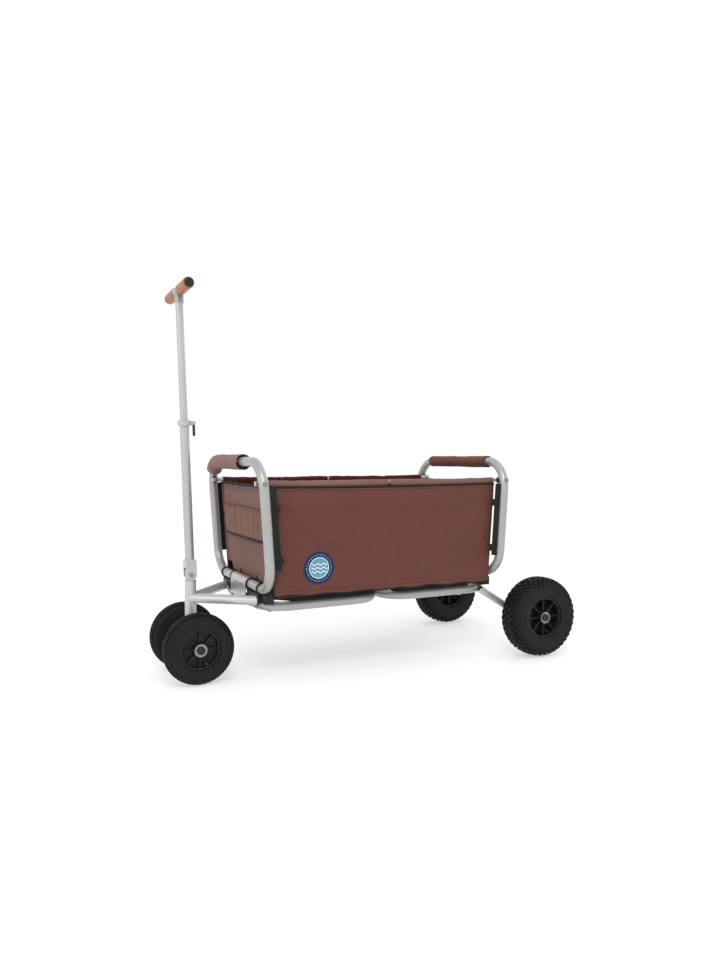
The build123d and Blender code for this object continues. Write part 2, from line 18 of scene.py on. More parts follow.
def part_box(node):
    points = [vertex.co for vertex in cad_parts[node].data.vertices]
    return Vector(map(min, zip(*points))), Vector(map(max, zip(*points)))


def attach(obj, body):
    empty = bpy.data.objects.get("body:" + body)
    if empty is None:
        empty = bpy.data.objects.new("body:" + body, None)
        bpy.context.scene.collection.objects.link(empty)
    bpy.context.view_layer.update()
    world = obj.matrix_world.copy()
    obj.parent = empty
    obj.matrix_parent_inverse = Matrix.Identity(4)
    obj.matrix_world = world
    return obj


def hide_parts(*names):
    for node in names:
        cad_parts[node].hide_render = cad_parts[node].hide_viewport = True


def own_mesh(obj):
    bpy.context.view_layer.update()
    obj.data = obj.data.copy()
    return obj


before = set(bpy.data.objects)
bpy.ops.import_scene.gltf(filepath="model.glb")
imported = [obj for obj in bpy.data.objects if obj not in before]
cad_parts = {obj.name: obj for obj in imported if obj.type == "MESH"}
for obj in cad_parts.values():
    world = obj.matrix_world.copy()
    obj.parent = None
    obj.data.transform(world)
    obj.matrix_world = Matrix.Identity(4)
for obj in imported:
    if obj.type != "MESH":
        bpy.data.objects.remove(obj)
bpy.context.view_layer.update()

LOG = logging.getLogger("beach_cart")
Surface = Callable[[float, float], Vector]
Socket = bpy.types.NodeSocket


# Shader effects and finishes ------------------------------------------------------------------------
class Lie(Enum):
    """How a cloth's weave is turned, so that its threads lie in the cloth's own face."""

    SIDE = (math.radians(90), 0.0, 0.0)
    END = (0.0, math.radians(90), 0.0)
    FLAT = (0.0, 0.0, 0.0)


def tone(code: str) -> tuple[float, float, float, float]:
    """Turn a display colour such as "6b463d" into linear red, green, blue and alpha."""
    parts = [int(code[i : i + 2], 16) / 255 for i in (0, 2, 4)]
    linear = [c / 12.92 if c < 0.04045 else ((c + 0.055) / 1.055) ** 2.4 for c in parts]
    return (linear[0], linear[1], linear[2], 1.0)


class Tree:
    """Adds and joins the nodes of one shader tree."""

    def __init__(self, tree: bpy.types.NodeTree) -> None:
        """Keep the tree that the nodes go into."""
        self.tree = tree

    def add(self, kind: str, feeds: dict[object, object] | None = None, **settings: object) -> bpy.types.Node:
        """Add one node.

        Args:
            kind: The node's type name.
            feeds: Input name or number to a socket or a plain value.
            settings: Properties of the node itself.

        Returns:
            The new node.
        """
        node = self.tree.nodes.new(kind)
        for key, value in settings.items():
            setattr(node, key, value)
        for key, value in (feeds or {}).items():
            if isinstance(value, bpy.types.NodeSocket):
                self.tree.links.new(value, node.inputs[key])
            else:
                node.inputs[key].default_value = value
        return node

    def math(self, operation: str, a: object, b: object = 0.0) -> Socket:
        """Add a Math node on two values and return its result."""
        return self.add("ShaderNodeMath", {0: a, 1: b}, operation=operation).outputs[0]

    def noise(self, vector: Socket, scale: object, **more: float) -> Socket:
        """Add a noise texture and return its value."""
        return self.add("ShaderNodeTexNoise", {"Vector": vector, "Scale": scale, **more}).outputs[0]

    def remap(self, value: Socket, low: float, high: float, to_low: object, to_high: object) -> Socket:
        """Map a value from one range to another and return the result."""
        feeds = {"Value": value, "From Min": low, "From Max": high, "To Min": to_low, "To Max": to_high}
        return self.add("ShaderNodeMapRange", feeds).outputs["Result"]


class Effects:
    """The effects that several finishes share, each a node group that is built once."""

    @staticmethod
    def _open(
        name: str, takes: dict[str, str], gives: dict[str, str]
    ) -> tuple[Tree, bpy.types.Node, bpy.types.Node]:
        """Start a group.

        Args:
            name: The group's name.
            takes: Input names and their kinds, such as Float.
            gives: Output names and their kinds.

        Returns:
            The group's tree, its input node and its output node.
        """
        group = bpy.data.node_groups.new(name, "ShaderNodeTree")
        for label, kind in takes.items():
            group.interface.new_socket(label, in_out="INPUT", socket_type=f"NodeSocket{kind}")
        for label, kind in gives.items():
            group.interface.new_socket(label, in_out="OUTPUT", socket_type=f"NodeSocket{kind}")
        tree = Tree(group)
        return tree, tree.add("NodeGroupInput"), tree.add("NodeGroupOutput")

    @staticmethod
    @cache
    def weave() -> bpy.types.NodeTree:
        """Threads that pass over and under each other at a given pitch."""
        tree, start, end = Effects._open("weave", {"Vector": "Vector", "Pitch": "Float"}, {"Height": "Float"})
        turn = tree.math("DIVIDE", math.tau, start.outputs["Pitch"])
        axes = tree.add("ShaderNodeSeparateXYZ", {0: start.outputs["Vector"]})
        warp = tree.math("SINE", tree.math("MULTIPLY", axes.outputs[0], turn))
        weft = tree.math("SINE", tree.math("MULTIPLY", axes.outputs[1], turn))
        height = tree.math("ADD", tree.math("MULTIPLY", tree.math("MULTIPLY", warp, weft), 0.5), 0.5)
        tree.tree.links.new(height, end.inputs["Height"])
        return tree.tree

    @staticmethod
    @cache
    def mottle() -> bpy.types.NodeTree:
        """A colour that turns a little lighter and darker over the surface."""
        takes = {"Vector": "Vector", "Color": "Color", "Scale": "Float", "Amount": "Float"}
        tree, start, end = Effects._open("mottle", takes, {"Color": "Color"})
        cloud = tree.noise(start.outputs["Vector"], start.outputs["Scale"], Detail=5.0, Roughness=0.6)
        low = tree.math("SUBTRACT", 1.0, start.outputs["Amount"])
        high = tree.math("ADD", 1.0, start.outputs["Amount"])
        gain = tree.remap(cloud, 0.3, 0.7, low, high)
        feeds = {0: start.outputs["Color"], "Scale": gain}
        shaded = tree.add("ShaderNodeVectorMath", feeds, operation="SCALE")
        tree.tree.links.new(shaded.outputs[0], end.inputs["Color"])
        return tree.tree

    @staticmethod
    @cache
    def creases() -> bpy.types.NodeTree:
        """Long soft creases, drawn out along the first axis."""
        takes = {"Vector": "Vector", "Scale": "Float", "Stretch": "Float"}
        tree, start, end = Effects._open("creases", takes, {"Height": "Float"})
        across = tree.math("MULTIPLY", start.outputs["Scale"], start.outputs["Stretch"])
        sizes = tree.add("ShaderNodeCombineXYZ", {0: start.outputs["Scale"], 1: across, 2: across})
        drawn = tree.add(
            "ShaderNodeVectorMath", {0: start.outputs["Vector"], 1: sizes.outputs[0]}, operation="MULTIPLY"
        )
        folds = tree.noise(drawn.outputs[0], 1.0, Detail=3.0, Roughness=0.55, Distortion=0.7)
        tree.tree.links.new(folds, end.inputs["Height"])
        return tree.tree

    @staticmethod
    @cache
    def grain() -> bpy.types.NodeTree:
        """The fine grain of paint, rubber or moulded plastic."""
        takes = {"Vector": "Vector", "Scale": "Float"}
        tree, start, end = Effects._open("grain", takes, {"Height": "Float", "Blotch": "Float"})
        fine = tree.noise(start.outputs["Vector"], start.outputs["Scale"], Detail=4.0)
        wide = tree.math("MULTIPLY", start.outputs["Scale"], 0.06)
        blotch = tree.noise(start.outputs["Vector"], wide, Detail=5.0)
        tree.tree.links.new(fine, end.inputs["Height"])
        tree.tree.links.new(blotch, end.inputs["Blotch"])
        return tree.tree

    @staticmethod
    @cache
    def edge_wear() -> bpy.types.NodeTree:
        """A mask along sharp outer edges, where a finish rubs lighter."""
        tree, start, end = Effects._open("edge_wear", {"Amount": "Float"}, {"Mask": "Float"})
        shape = tree.add("ShaderNodeNewGeometry")
        mask = tree.remap(shape.outputs["Pointiness"], 0.52, 0.60, 0.0, start.outputs["Amount"])
        tree.tree.links.new(mask, end.inputs["Mask"])
        return tree.tree

    @staticmethod
    @cache
    def dust() -> bpy.types.NodeTree:
        """A patchy mask of dust that settles in blotches."""
        takes = {"Vector": "Vector", "Amount": "Float"}
        tree, start, end = Effects._open("dust", takes, {"Mask": "Float"})
        cloud = tree.noise(start.outputs["Vector"], 24.0, Detail=6.0)
        mask = tree.remap(cloud, 0.45, 0.75, 0.0, start.outputs["Amount"])
        tree.tree.links.new(mask, end.inputs["Mask"])
        return tree.tree


class Coat:
    """One material with its shader and the chain of bumps that feeds its normal."""

    def __init__(self, name: str, **fixed: float) -> None:
        """Make the material.

        Args:
            name: The material's name.
            fixed: Shader inputs that are the same all over, with _ for a space.
        """
        self.material = bpy.data.materials.new(name)
        self.material.use_nodes = True
        self.tree = Tree(self.material.node_tree)
        self.shader = self.material.node_tree.nodes["Principled BSDF"]
        for key, value in fixed.items():
            self.shader.inputs[key.replace("_", " ")].default_value = value
        self.place = self.tree.add("ShaderNodeTexCoord").outputs["Object"]
        self.normal: Socket | None = None

    def turned(self, turn: tuple[float, float, float]) -> Socket:
        """Return the place on the piece, turned about the three axes."""
        return self.tree.add("ShaderNodeMapping", {"Vector": self.place, "Rotation": turn}).outputs[0]

    def effect(self, group: bpy.types.NodeTree, **feeds: object) -> bpy.types.Node:
        """Place a shared effect with its own values."""
        node = self.tree.add("ShaderNodeGroup", node_tree=group)
        for key, value in feeds.items():
            if isinstance(value, bpy.types.NodeSocket):
                self.tree.tree.links.new(value, node.inputs[key])
            else:
                node.inputs[key].default_value = value
        return node

    def wire(self, socket: Socket, name: str) -> None:
        """Feed one of the shader's inputs."""
        self.tree.tree.links.new(socket, self.shader.inputs[name])

    def tinted(self, place: Socket, color: str, scale: float, amount: float) -> Socket:
        """Return a colour that varies a little over the surface."""
        spread = self.effect(Effects.mottle(), Vector=place, Color=tone(color), Scale=scale, Amount=amount)
        return spread.outputs[0]

    def roughness(self, value: Socket, low: float, high: float) -> None:
        """Let the roughness follow a noise between two values."""
        self.wire(self.tree.remap(value, 0.3, 0.7, low, high), "Roughness")

    def bump(self, height: Socket, depth: float, strength: float = 1.0) -> None:
        """Add a bump over those that are already there."""
        feeds: dict[object, object] = {"Height": height, "Distance": depth, "Strength": strength}
        if self.normal is not None:
            feeds["Normal"] = self.normal
        self.normal = self.tree.add("ShaderNodeBump", feeds).outputs[0]
        self.wire(self.normal, "Normal")

    def mix(self, amount: Socket, a: object, b: object) -> Socket:
        """Blend two colours by a mask."""
        node = self.tree.add("ShaderNodeMix", {"Factor": amount}, data_type="RGBA")
        for index, value in ((6, a), (7, b)):
            if isinstance(value, bpy.types.NodeSocket):
                self.tree.tree.links.new(value, node.inputs[index])
            else:
                node.inputs[index].default_value = value
        return node.outputs[2]


@dataclass(frozen=True)
class TubePaint:
    """Satin silver paint on the frame tubes."""

    color: str = "a4a4a3"
    metal: float = 0.45
    rough: float = 0.36

    def material(self, name: str) -> bpy.types.Material:
        """Return the paint as a material."""
        coat = Coat(name, Metallic=self.metal, Coat_Weight=0.25, Coat_Roughness=0.22)
        tint = coat.tinted(coat.place, self.color, 9.0, 0.035)
        worn = coat.effect(Effects.edge_wear(), Amount=0.5)
        coat.wire(coat.mix(worn.outputs[0], tint, tone("d6d6d3")), "Base Color")
        grain = coat.effect(Effects.grain(), Vector=coat.place, Scale=900.0)
        coat.roughness(grain.outputs[1], self.rough - 0.05, self.rough + 0.07)
        coat.bump(grain.outputs[0], 0.00005, 0.5)
        return coat.material


@dataclass(frozen=True)
class Canvas:
    """Woven polyester canvas, binding tape or webbing."""

    color: str = "5d3931"
    lie: Lie = Lie.SIDE
    pitch: float = 0.0011
    crease: float = 0.0016
    stretch: float = 2.5
    sheen: float = 0.18
    mottling: float = 0.07

    def material(self, name: str) -> bpy.types.Material:
        """Return the canvas as a material."""
        sheen = self.sheen * 0.3
        coat = Coat(name, Metallic=0.0, Specular_IOR_Level=0.16, Sheen_Weight=sheen, Sheen_Roughness=0.45)
        place = coat.turned(self.lie.value)
        tint = coat.tinted(place, self.color, 7.0, self.mottling)
        weave = coat.effect(Effects.weave(), Vector=place, Pitch=self.pitch)
        dark = coat.effect(Effects.mottle(), Vector=place, Color=tint, Scale=420.0, Amount=0.10)
        coat.wire(dark.outputs[0], "Base Color")
        coat.wire(coat.tree.remap(weave.outputs[0], 0.0, 1.0, 0.80, 0.66), "Roughness")
        folds = coat.effect(Effects.creases(), Vector=place, Scale=11.0, Stretch=self.stretch)
        coat.bump(folds.outputs[0], self.crease, 0.8)
        coat.bump(weave.outputs[0], 0.00018, 0.45)
        return coat.material


@dataclass(frozen=True)
class Moulded:
    """Moulded black plastic with a fine texture."""

    color: str = "1b1b1c"
    rough: float = 0.46
    grain: float = 700.0

    def material(self, name: str) -> bpy.types.Material:
        """Return the plastic as a material."""
        coat = Coat(name, Metallic=0.0, Specular_IOR_Level=0.26)
        tint = coat.tinted(coat.place, self.color, 30.0, 0.12)
        worn = coat.effect(Effects.edge_wear(), Amount=0.35)
        coat.wire(coat.mix(worn.outputs[0], tint, tone("343435")), "Base Color")
        grain = coat.effect(Effects.grain(), Vector=coat.place, Scale=self.grain)
        coat.roughness(grain.outputs[1], self.rough - 0.07, self.rough + 0.1)
        coat.bump(grain.outputs[0], 0.0001, 0.5)
        return coat.material


@dataclass(frozen=True)
class Rubber:
    """Black tyre rubber with a little dust in it."""

    color: str = "151516"
    dust: float = 0.10

    def material(self, name: str) -> bpy.types.Material:
        """Return the rubber as a material."""
        coat = Coat(name, Metallic=0.0, Specular_IOR_Level=0.2)
        tint = coat.tinted(coat.place, self.color, 18.0, 0.12)
        dirty = coat.effect(Effects.dust(), Vector=coat.place, Amount=self.dust)
        coat.wire(coat.mix(dirty.outputs[0], tint, tone("3f3c3a")), "Base Color")
        grain = coat.effect(Effects.grain(), Vector=coat.place, Scale=520.0)
        coat.roughness(grain.outputs[1], 0.52, 0.68)
        coat.bump(grain.outputs[0], 0.0002, 0.5)
        return coat.material


@dataclass(frozen=True)
class Steel:
    """Zinc-plated steel with faint brush lines."""

    color: str = "8f8d89"
    rough: float = 0.27

    def material(self, name: str) -> bpy.types.Material:
        """Return the steel as a material."""
        coat = Coat(name, Metallic=1.0)
        tint = coat.tinted(coat.place, self.color, 60.0, 0.08)
        coat.wire(tint, "Base Color")
        lines = coat.effect(Effects.creases(), Vector=coat.place, Scale=60.0, Stretch=30.0)
        coat.roughness(lines.outputs[0], self.rough - 0.08, self.rough + 0.1)
        coat.bump(lines.outputs[0], 0.00005, 0.4)
        return coat.material


@dataclass(frozen=True)
class GripWood:
    """Oiled wood of the hand grips, its grain along the grip."""

    light: str = "a86532"
    dark: str = "8a4d24"

    def material(self, name: str) -> bpy.types.Material:
        """Return the wood as a material."""
        coat = Coat(name, Metallic=0.0, Coat_Weight=0.12, Coat_Roughness=0.35)
        drawn = {"Vector": coat.place, "Scale": (1.0, 0.09, 1.0)}
        long_way = coat.tree.add("ShaderNodeMapping", drawn).outputs[0]
        rings = coat.tree.noise(long_way, 190.0, Detail=6.0, Distortion=1.2)
        streak = coat.tree.remap(rings, 0.32, 0.68, 0.0, 1.0)
        coat.wire(coat.mix(streak, tone(self.dark), tone(self.light)), "Base Color")
        coat.roughness(rings, 0.5, 0.38)
        coat.bump(rings, 0.0002, 0.4)
        return coat.material


Finish = TubePaint | Canvas | Moulded | Rubber | Steel | GripWood

FINISHES: dict[str, Finish] = {
    # The front end's canvas is the same cloth as the rear's and the sides', painted lighter: painted light on
    # the front face.
    "canvas_front": Canvas(color="775750", lie=Lie.END, stretch=1.6, crease=0.0013),
    "canvas_rear": Canvas(color="5d3931", lie=Lie.END, stretch=1.6, crease=0.0013),
    "canvas_front_handle": Canvas(color="80625a", lie=Lie.END, crease=0.0020, stretch=1.4, sheen=0.25),
    "canvas_rear_handle": Canvas(color="6b3f34", lie=Lie.END, crease=0.0020, stretch=1.4, sheen=0.25),
    # Linings: the cloth's own darker inner colour with painted shade of the tub's inside added to it.
    "lining_and_shade_end": Canvas(color="45140b", lie=Lie.END, sheen=0.05),
    "binding_end": Canvas(color="1f1f20", lie=Lie.END, crease=0.0004, sheen=0.08, mottling=0.05),
    "thread": Canvas(color="3c241e", crease=0.0002),
    # The pocket flap is the same canvas, painted lighter with the light on the front face.
    "canvas_flap_painted_lighter": Canvas(color="745248", lie=Lie.END, crease=0.0016, stretch=0.35),
    "badge_navy": Canvas(color="16305c", pitch=0.0009, crease=0.0002, mottling=0.04),
    "badge_pale": Canvas(color="dfe3e0", pitch=0.0009, crease=0.0002, mottling=0.03),
    "badge_blue": Canvas(color="5f93ad", pitch=0.0009, crease=0.0002, mottling=0.04),
    "canvas_side": Canvas(color="613b33", lie=Lie.SIDE, crease=0.0034),
    # The side lining is darker for two reasons: its own inner colour and painted shade of the tub's inside.
    "lining_and_shade_side": Canvas(color="45120a", lie=Lie.SIDE, sheen=0.05),
    "binding_side": Canvas(color="1f1f20", lie=Lie.SIDE, crease=0.0004, sheen=0.08, mottling=0.05),
    "canvas_rail": Canvas(color="76574f", lie=Lie.SIDE, crease=0.0018, stretch=0.9, sheen=0.3),
    # The rail lining is darker for two reasons: its own inner colour and painted shade of the tub's inside.
    "lining_and_shade_rail": Canvas(color="4a140b", lie=Lie.SIDE, crease=0.0018, sheen=0.05),
    "lining_black": Canvas(color="1c1b1c", lie=Lie.END, crease=0.0006, sheen=0.05),
    "foam": Moulded(color="19191a", rough=0.85, grain=260.0),
    "steel": Steel(),
    "canvas_floor": Canvas(color="3a1610", lie=Lie.FLAT, crease=0.0010, sheen=0.08),
    "rubber": Rubber(),
    "tread_rubber": Rubber(color="141415", dust=0.16),
    "valve_cap": Moulded(color="3a3a3b"),
    "tube_paint": TubePaint(),
    "drawbar_paint": TubePaint(color="7f7f7e"),
    "pressed_paint": TubePaint(color="8c8c8a", metal=0.6, rough=0.30),
    "moulded_black": Moulded(),
    "webbing": Canvas(color="212122", lie=Lie.SIDE, pitch=0.0018, crease=0.0004, sheen=0.08),
    "rim_plastic": Moulded(color="1d1d1e", rough=0.52),
    "board_cover": Canvas(color="1f1f20", lie=Lie.FLAT, crease=0.0004, sheen=0.04),
    "grip_wood": GripWood(),
}


@dataclass(frozen=True)
class Palette:
    """Every finish of the cart, each made into a material once."""

    made: dict[str, bpy.types.Material] = field(default_factory=dict)

    def get(self, name: str) -> bpy.types.Material:
        """Return the named finish as a material."""
        if name not in self.made:
            self.made[name] = FINISHES[name].material(name)
        return self.made[name]


PALETTE = Palette()


# Mesh building --------------------------------------------------------------------------------------
def bell(value: float, middle: float, wide: float) -> float:
    """Return 1 at the middle, fading smoothly to 0 either side."""
    return math.exp(-(((value - middle) / wide) ** 2))


def bridge(bm: bmesh.types.BMesh, rings: Sequence[list[bmesh.types.BMVert]], loop: bool = False) -> None:
    """Join rings of points into a tube, capped at both ends unless they meet."""
    sides = len(rings[0])
    for one, two in [*zip(rings, rings[1:]), *([(rings[-1], rings[0])] if loop else [])]:
        for k in range(sides):
            m = (k + 1) % sides
            bm.faces.new((one[k], one[m], two[m], two[k]))
    if not loop:
        bm.faces.new(rings[0][::-1])
        bm.faces.new(rings[-1])


def sharpen(bm: bmesh.types.BMesh, degrees: float) -> None:
    """Mark the edges that turn more than an angle as sharp."""
    for edge in bm.edges:
        if len(edge.link_faces) == 2 and edge.calc_face_angle(0.0) > math.radians(degrees):
            edge.smooth = False


def finished(
    name: str, bm: bmesh.types.BMesh, materials: Sequence[bpy.types.Material], smooth: bool = True
) -> bpy.types.Object:
    """Turn a bmesh into a linked object.

    Args:
        name: The piece's name.
        bm: The mesh, which is freed.
        materials: The piece's materials in slot order.
        smooth: Whether faces are shaded smooth.

    Returns:
        The new object.
    """
    mesh = bpy.data.meshes.new(name)
    bm.to_mesh(mesh)
    bm.free()
    for material in materials:
        mesh.materials.append(material)
    if smooth:
        mesh.polygons.foreach_set("use_smooth", [True] * len(mesh.polygons))
    piece = bpy.data.objects.new(name, mesh)
    bpy.context.scene.collection.objects.link(piece)
    return piece


@dataclass
class Shell:
    """A thin closed skin either side of a surface, such as a cloth or a tyre's carcass."""

    name: str
    surface: Surface
    across: int
    along: int
    thick: float
    wrap_across: bool = False
    wrap_along: bool = False
    flip: bool = False

    def grid(self) -> list[list[Vector]]:
        """Sample the surface."""
        us = self.across if self.wrap_across else self.across + 1
        vs = self.along if self.wrap_along else self.along + 1
        return [[self.surface(i / self.across, j / self.along) for j in range(vs)] for i in range(us)]

    def build(self, outer: bpy.types.Material, inner: bpy.types.Material | None = None) -> bpy.types.Object:
        """Build the skin.

        Args:
            outer: The material of the outside.
            inner: The material of the inside, or None for the same.

        Returns:
            The piece.
        """
        points = self.grid()
        us, vs = len(points), len(points[0])
        bm = bmesh.new()
        out, back = [], []
        for i in range(us):
            out.append([]), back.append([])
            for j in range(vs):
                before = points[(i - 1) % us if self.wrap_across else max(i - 1, 0)][j]
                after = points[(i + 1) % us if self.wrap_across else min(i + 1, us - 1)][j]
                low = points[i][(j - 1) % vs if self.wrap_along else max(j - 1, 0)]
                high = points[i][(j + 1) % vs if self.wrap_along else min(j + 1, vs - 1)]
                normal = (after - before).cross(high - low).normalized() * (-1 if self.flip else 1)
                out[-1].append(bm.verts.new(points[i][j] + normal * self.thick / 2))
                back[-1].append(bm.verts.new(points[i][j] - normal * self.thick / 2))
        for i in range(us if self.wrap_across else us - 1):
            for j in range(vs if self.wrap_along else vs - 1):
                k, m = (i + 1) % us, (j + 1) % vs
                bm.faces.new((out[i][j], out[k][j], out[k][m], out[i][m]))
                bm.faces.new((back[i][j], back[i][m], back[k][m], back[k][j])).material_index = 1
        if not self.wrap_across:
            for i in (0, us - 1):
                for j in range(vs if self.wrap_along else vs - 1):
                    m = (j + 1) % vs
                    bm.faces.new((out[i][j], out[i][m], back[i][m], back[i][j]))
        if not self.wrap_along:
            for j in (0, vs - 1):
                for i in range(us if self.wrap_across else us - 1):
                    k = (i + 1) % us
                    bm.faces.new((out[i][j], out[k][j], back[k][j], back[i][j]))
        bmesh.ops.recalc_face_normals(bm, faces=bm.faces)
        sharpen(bm, 55)
        return finished(self.name, bm, [outer, inner or outer])


def sweep(
    name: str,
    line: Sequence[Vector],
    faces_to: Sequence[Vector],
    wide: float,
    thick: float,
    material: bpy.types.Material,
    sides: int = 12,
    square: float = 4.0,
    loop: bool = False,
) -> bpy.types.Object:
    """Run a rounded flat or round section along a line, as a tape, cord or rod.

    Args:
        name: The piece's name.
        line: The centres of the sections.
        faces_to: The way the tape's face looks at each centre.
        wide: The section's width, along the face.
        thick: The section's thickness.
        material: The finish.
        sides: Corners of the section.
        square: 2 for an ellipse, more for a squarer section.
        loop: Whether the line's ends meet.

    Returns:
        The piece.
    """
    bm = bmesh.new()
    rings = []
    count = len(line)
    for i, centre in enumerate(line):
        ahead = line[(i + 1) % count] if loop else line[min(i + 1, count - 1)]
        behind = line[(i - 1) % count] if loop else line[max(i - 1, 0)]
        run = (ahead - behind).normalized()
        up = (faces_to[i] - run * faces_to[i].dot(run)).normalized()
        side = run.cross(up)
        ring = []
        for k in range(sides):
            angle = math.tau * (k + 0.5) / sides
            c, s = math.cos(angle), math.sin(angle)
            a = math.copysign(abs(c) ** (2 / square), c) * wide / 2
            b = math.copysign(abs(s) ** (2 / square), s) * thick / 2
            ring.append(bm.verts.new(centre + side * a + up * b))
        rings.append(ring)
    bridge(bm, rings, loop)
    bmesh.ops.recalc_face_normals(bm, faces=bm.faces)
    return finished(name, bm, [material])


def turned_part(
    name: str,
    centre: Vector,
    axis: Vector,
    profile: Sequence[tuple[float, float]],
    material: bpy.types.Material,
    steps: int = 32,
) -> bpy.types.Object:
    """Turn a profile round an axis, as for a screw head, cap or valve.

    Args:
        name: The piece's name.
        centre: Where the axis starts.
        axis: The way the axis points.
        profile: Pairs of radius and distance along the axis; both ends are closed.
        material: The finish.
        steps: Sides of the turned shape.

    Returns:
        The piece.
    """
    bm = bmesh.new()
    ahead = axis.normalized()
    side = ahead.orthogonal().normalized()
    other = ahead.cross(side)
    rings = [
        [
            bm.verts.new(centre + ahead * far + (side * math.cos(t) + other * math.sin(t)) * radius)
            for t in (math.tau * k / steps for k in range(steps))
        ]
        for radius, far in profile
    ]
    bridge(bm, rings)
    bmesh.ops.recalc_face_normals(bm, faces=bm.faces)
    sharpen(bm, 35)
    return finished(name, bm, [material])


def stitched(
    name: str,
    seams: Iterable[Sequence[tuple[Vector, Vector]]],
    material: bpy.types.Material,
    long: float = 0.0042,
    gap: float = 0.0022,
    thick: float = 0.0011,
) -> bpy.types.Object:
    """Sew rows of stitches.

    Args:
        name: The piece's name.
        seams: Each seam's points with the way the cloth faces there.
        material: The thread.
        long: Length of one stitch.
        gap: Space between two stitches.
        thick: Thickness of the thread.

    Returns:
        All the stitches as one piece.
    """
    bm = bmesh.new()
    for seam in seams:
        left_over = 0.0
        for (a, na), (b, _) in zip(seam, seam[1:]):
            run = b - a
            length = run.length
            if length < 1e-7:
                continue
            way = run / length
            side = way.cross(na).normalized()
            at = left_over
            while at < length:
                rings = []
                for share, swell in ((-0.5, 0.45), (-0.25, 1.0), (0.25, 1.0), (0.5, 0.45)):
                    middle = a + way * (at + share * long) + na * (0.0004 * swell)
                    rings.append(
                        [
                            bm.verts.new(middle + (side * math.cos(t) + na * math.sin(t)) * thick / 2 * swell)
                            for t in (math.tau * k / 6 for k in range(6))
                        ]
                    )
                bridge(bm, rings)
                at += long + gap
            left_over = at - length
    return finished(name, bm, [material])


def ripple(x: float, y: float, seed: float, size: float) -> float:
    """Return smooth noise from -1 to 1 at a place, with a given size of wave."""
    return noise.noise(Vector((x / size, y / size, seed)))


def ridge(x: float, z: float, start: tuple[float, float], end: tuple[float, float], wide: float) -> float:
    """Return how near a place is to a straight fold, 1 on its crest and fading out to its ends."""
    run = (end[0] - start[0], end[1] - start[1])
    size = math.hypot(*run)
    along = ((x - start[0]) * run[0] + (z - start[1]) * run[1]) / size**2
    off = ((x - start[0]) * run[1] - (z - start[1]) * run[0]) / size
    if not 0 < along < 1:
        return 0.0
    return math.sin(math.pi * along) * math.exp(-((off / wide) ** 2))


def dress(nodes: Iterable[str], material: bpy.types.Material) -> None:
    """Give carried-over parts their finish through their material slots."""
    for name in nodes:
        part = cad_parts[name]
        if not part.material_slots:
            part.data.materials.append(material)
        for place in part.material_slots:
            place.material = material


# The cart's sub-assemblies --------------------------------------------------------------------------
@dataclass
class EndPlane:
    """The leaning plane of one end frame's tube."""

    end: str
    tube_r: float = 0.014
    corner_r: float = 0.090

    def __post_init__(self) -> None:
        """Read the plane from the end frame's box."""
        low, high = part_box(f"{self.end}_end_frame")
        self.ahead = 1.0 if self.end == "front" else -1.0
        inner, outer = (low.x, high.x) if self.ahead > 0 else (high.x, low.x)
        self.foot = Vector((inner + self.ahead * self.tube_r, 0.0, low.z + self.tube_r))
        head = Vector((outer - self.ahead * self.tube_r, 0.0, high.z - self.tube_r))
        self.height = (head - self.foot).length
        self.up = (head - self.foot).normalized()
        self.out = Vector((self.up.z * self.ahead, 0.0, -abs(self.up.x)))
        self.half_w = high.y - self.tube_r

    def at(self, out: float, y: float, up: float) -> Vector:
        """Return the point that far out of the plane, across and up it."""
        return self.foot + self.out * out + Vector((0.0, y, 0.0)) + self.up * up

    def x_at(self, z: float, out: float) -> float:
        """Return the X of a sheet that lies that far out of the plane, at height z."""
        rise = (z - self.foot.z - self.out.z * out) / self.up.z
        return self.foot.x + self.out.x * out + self.up.x * rise


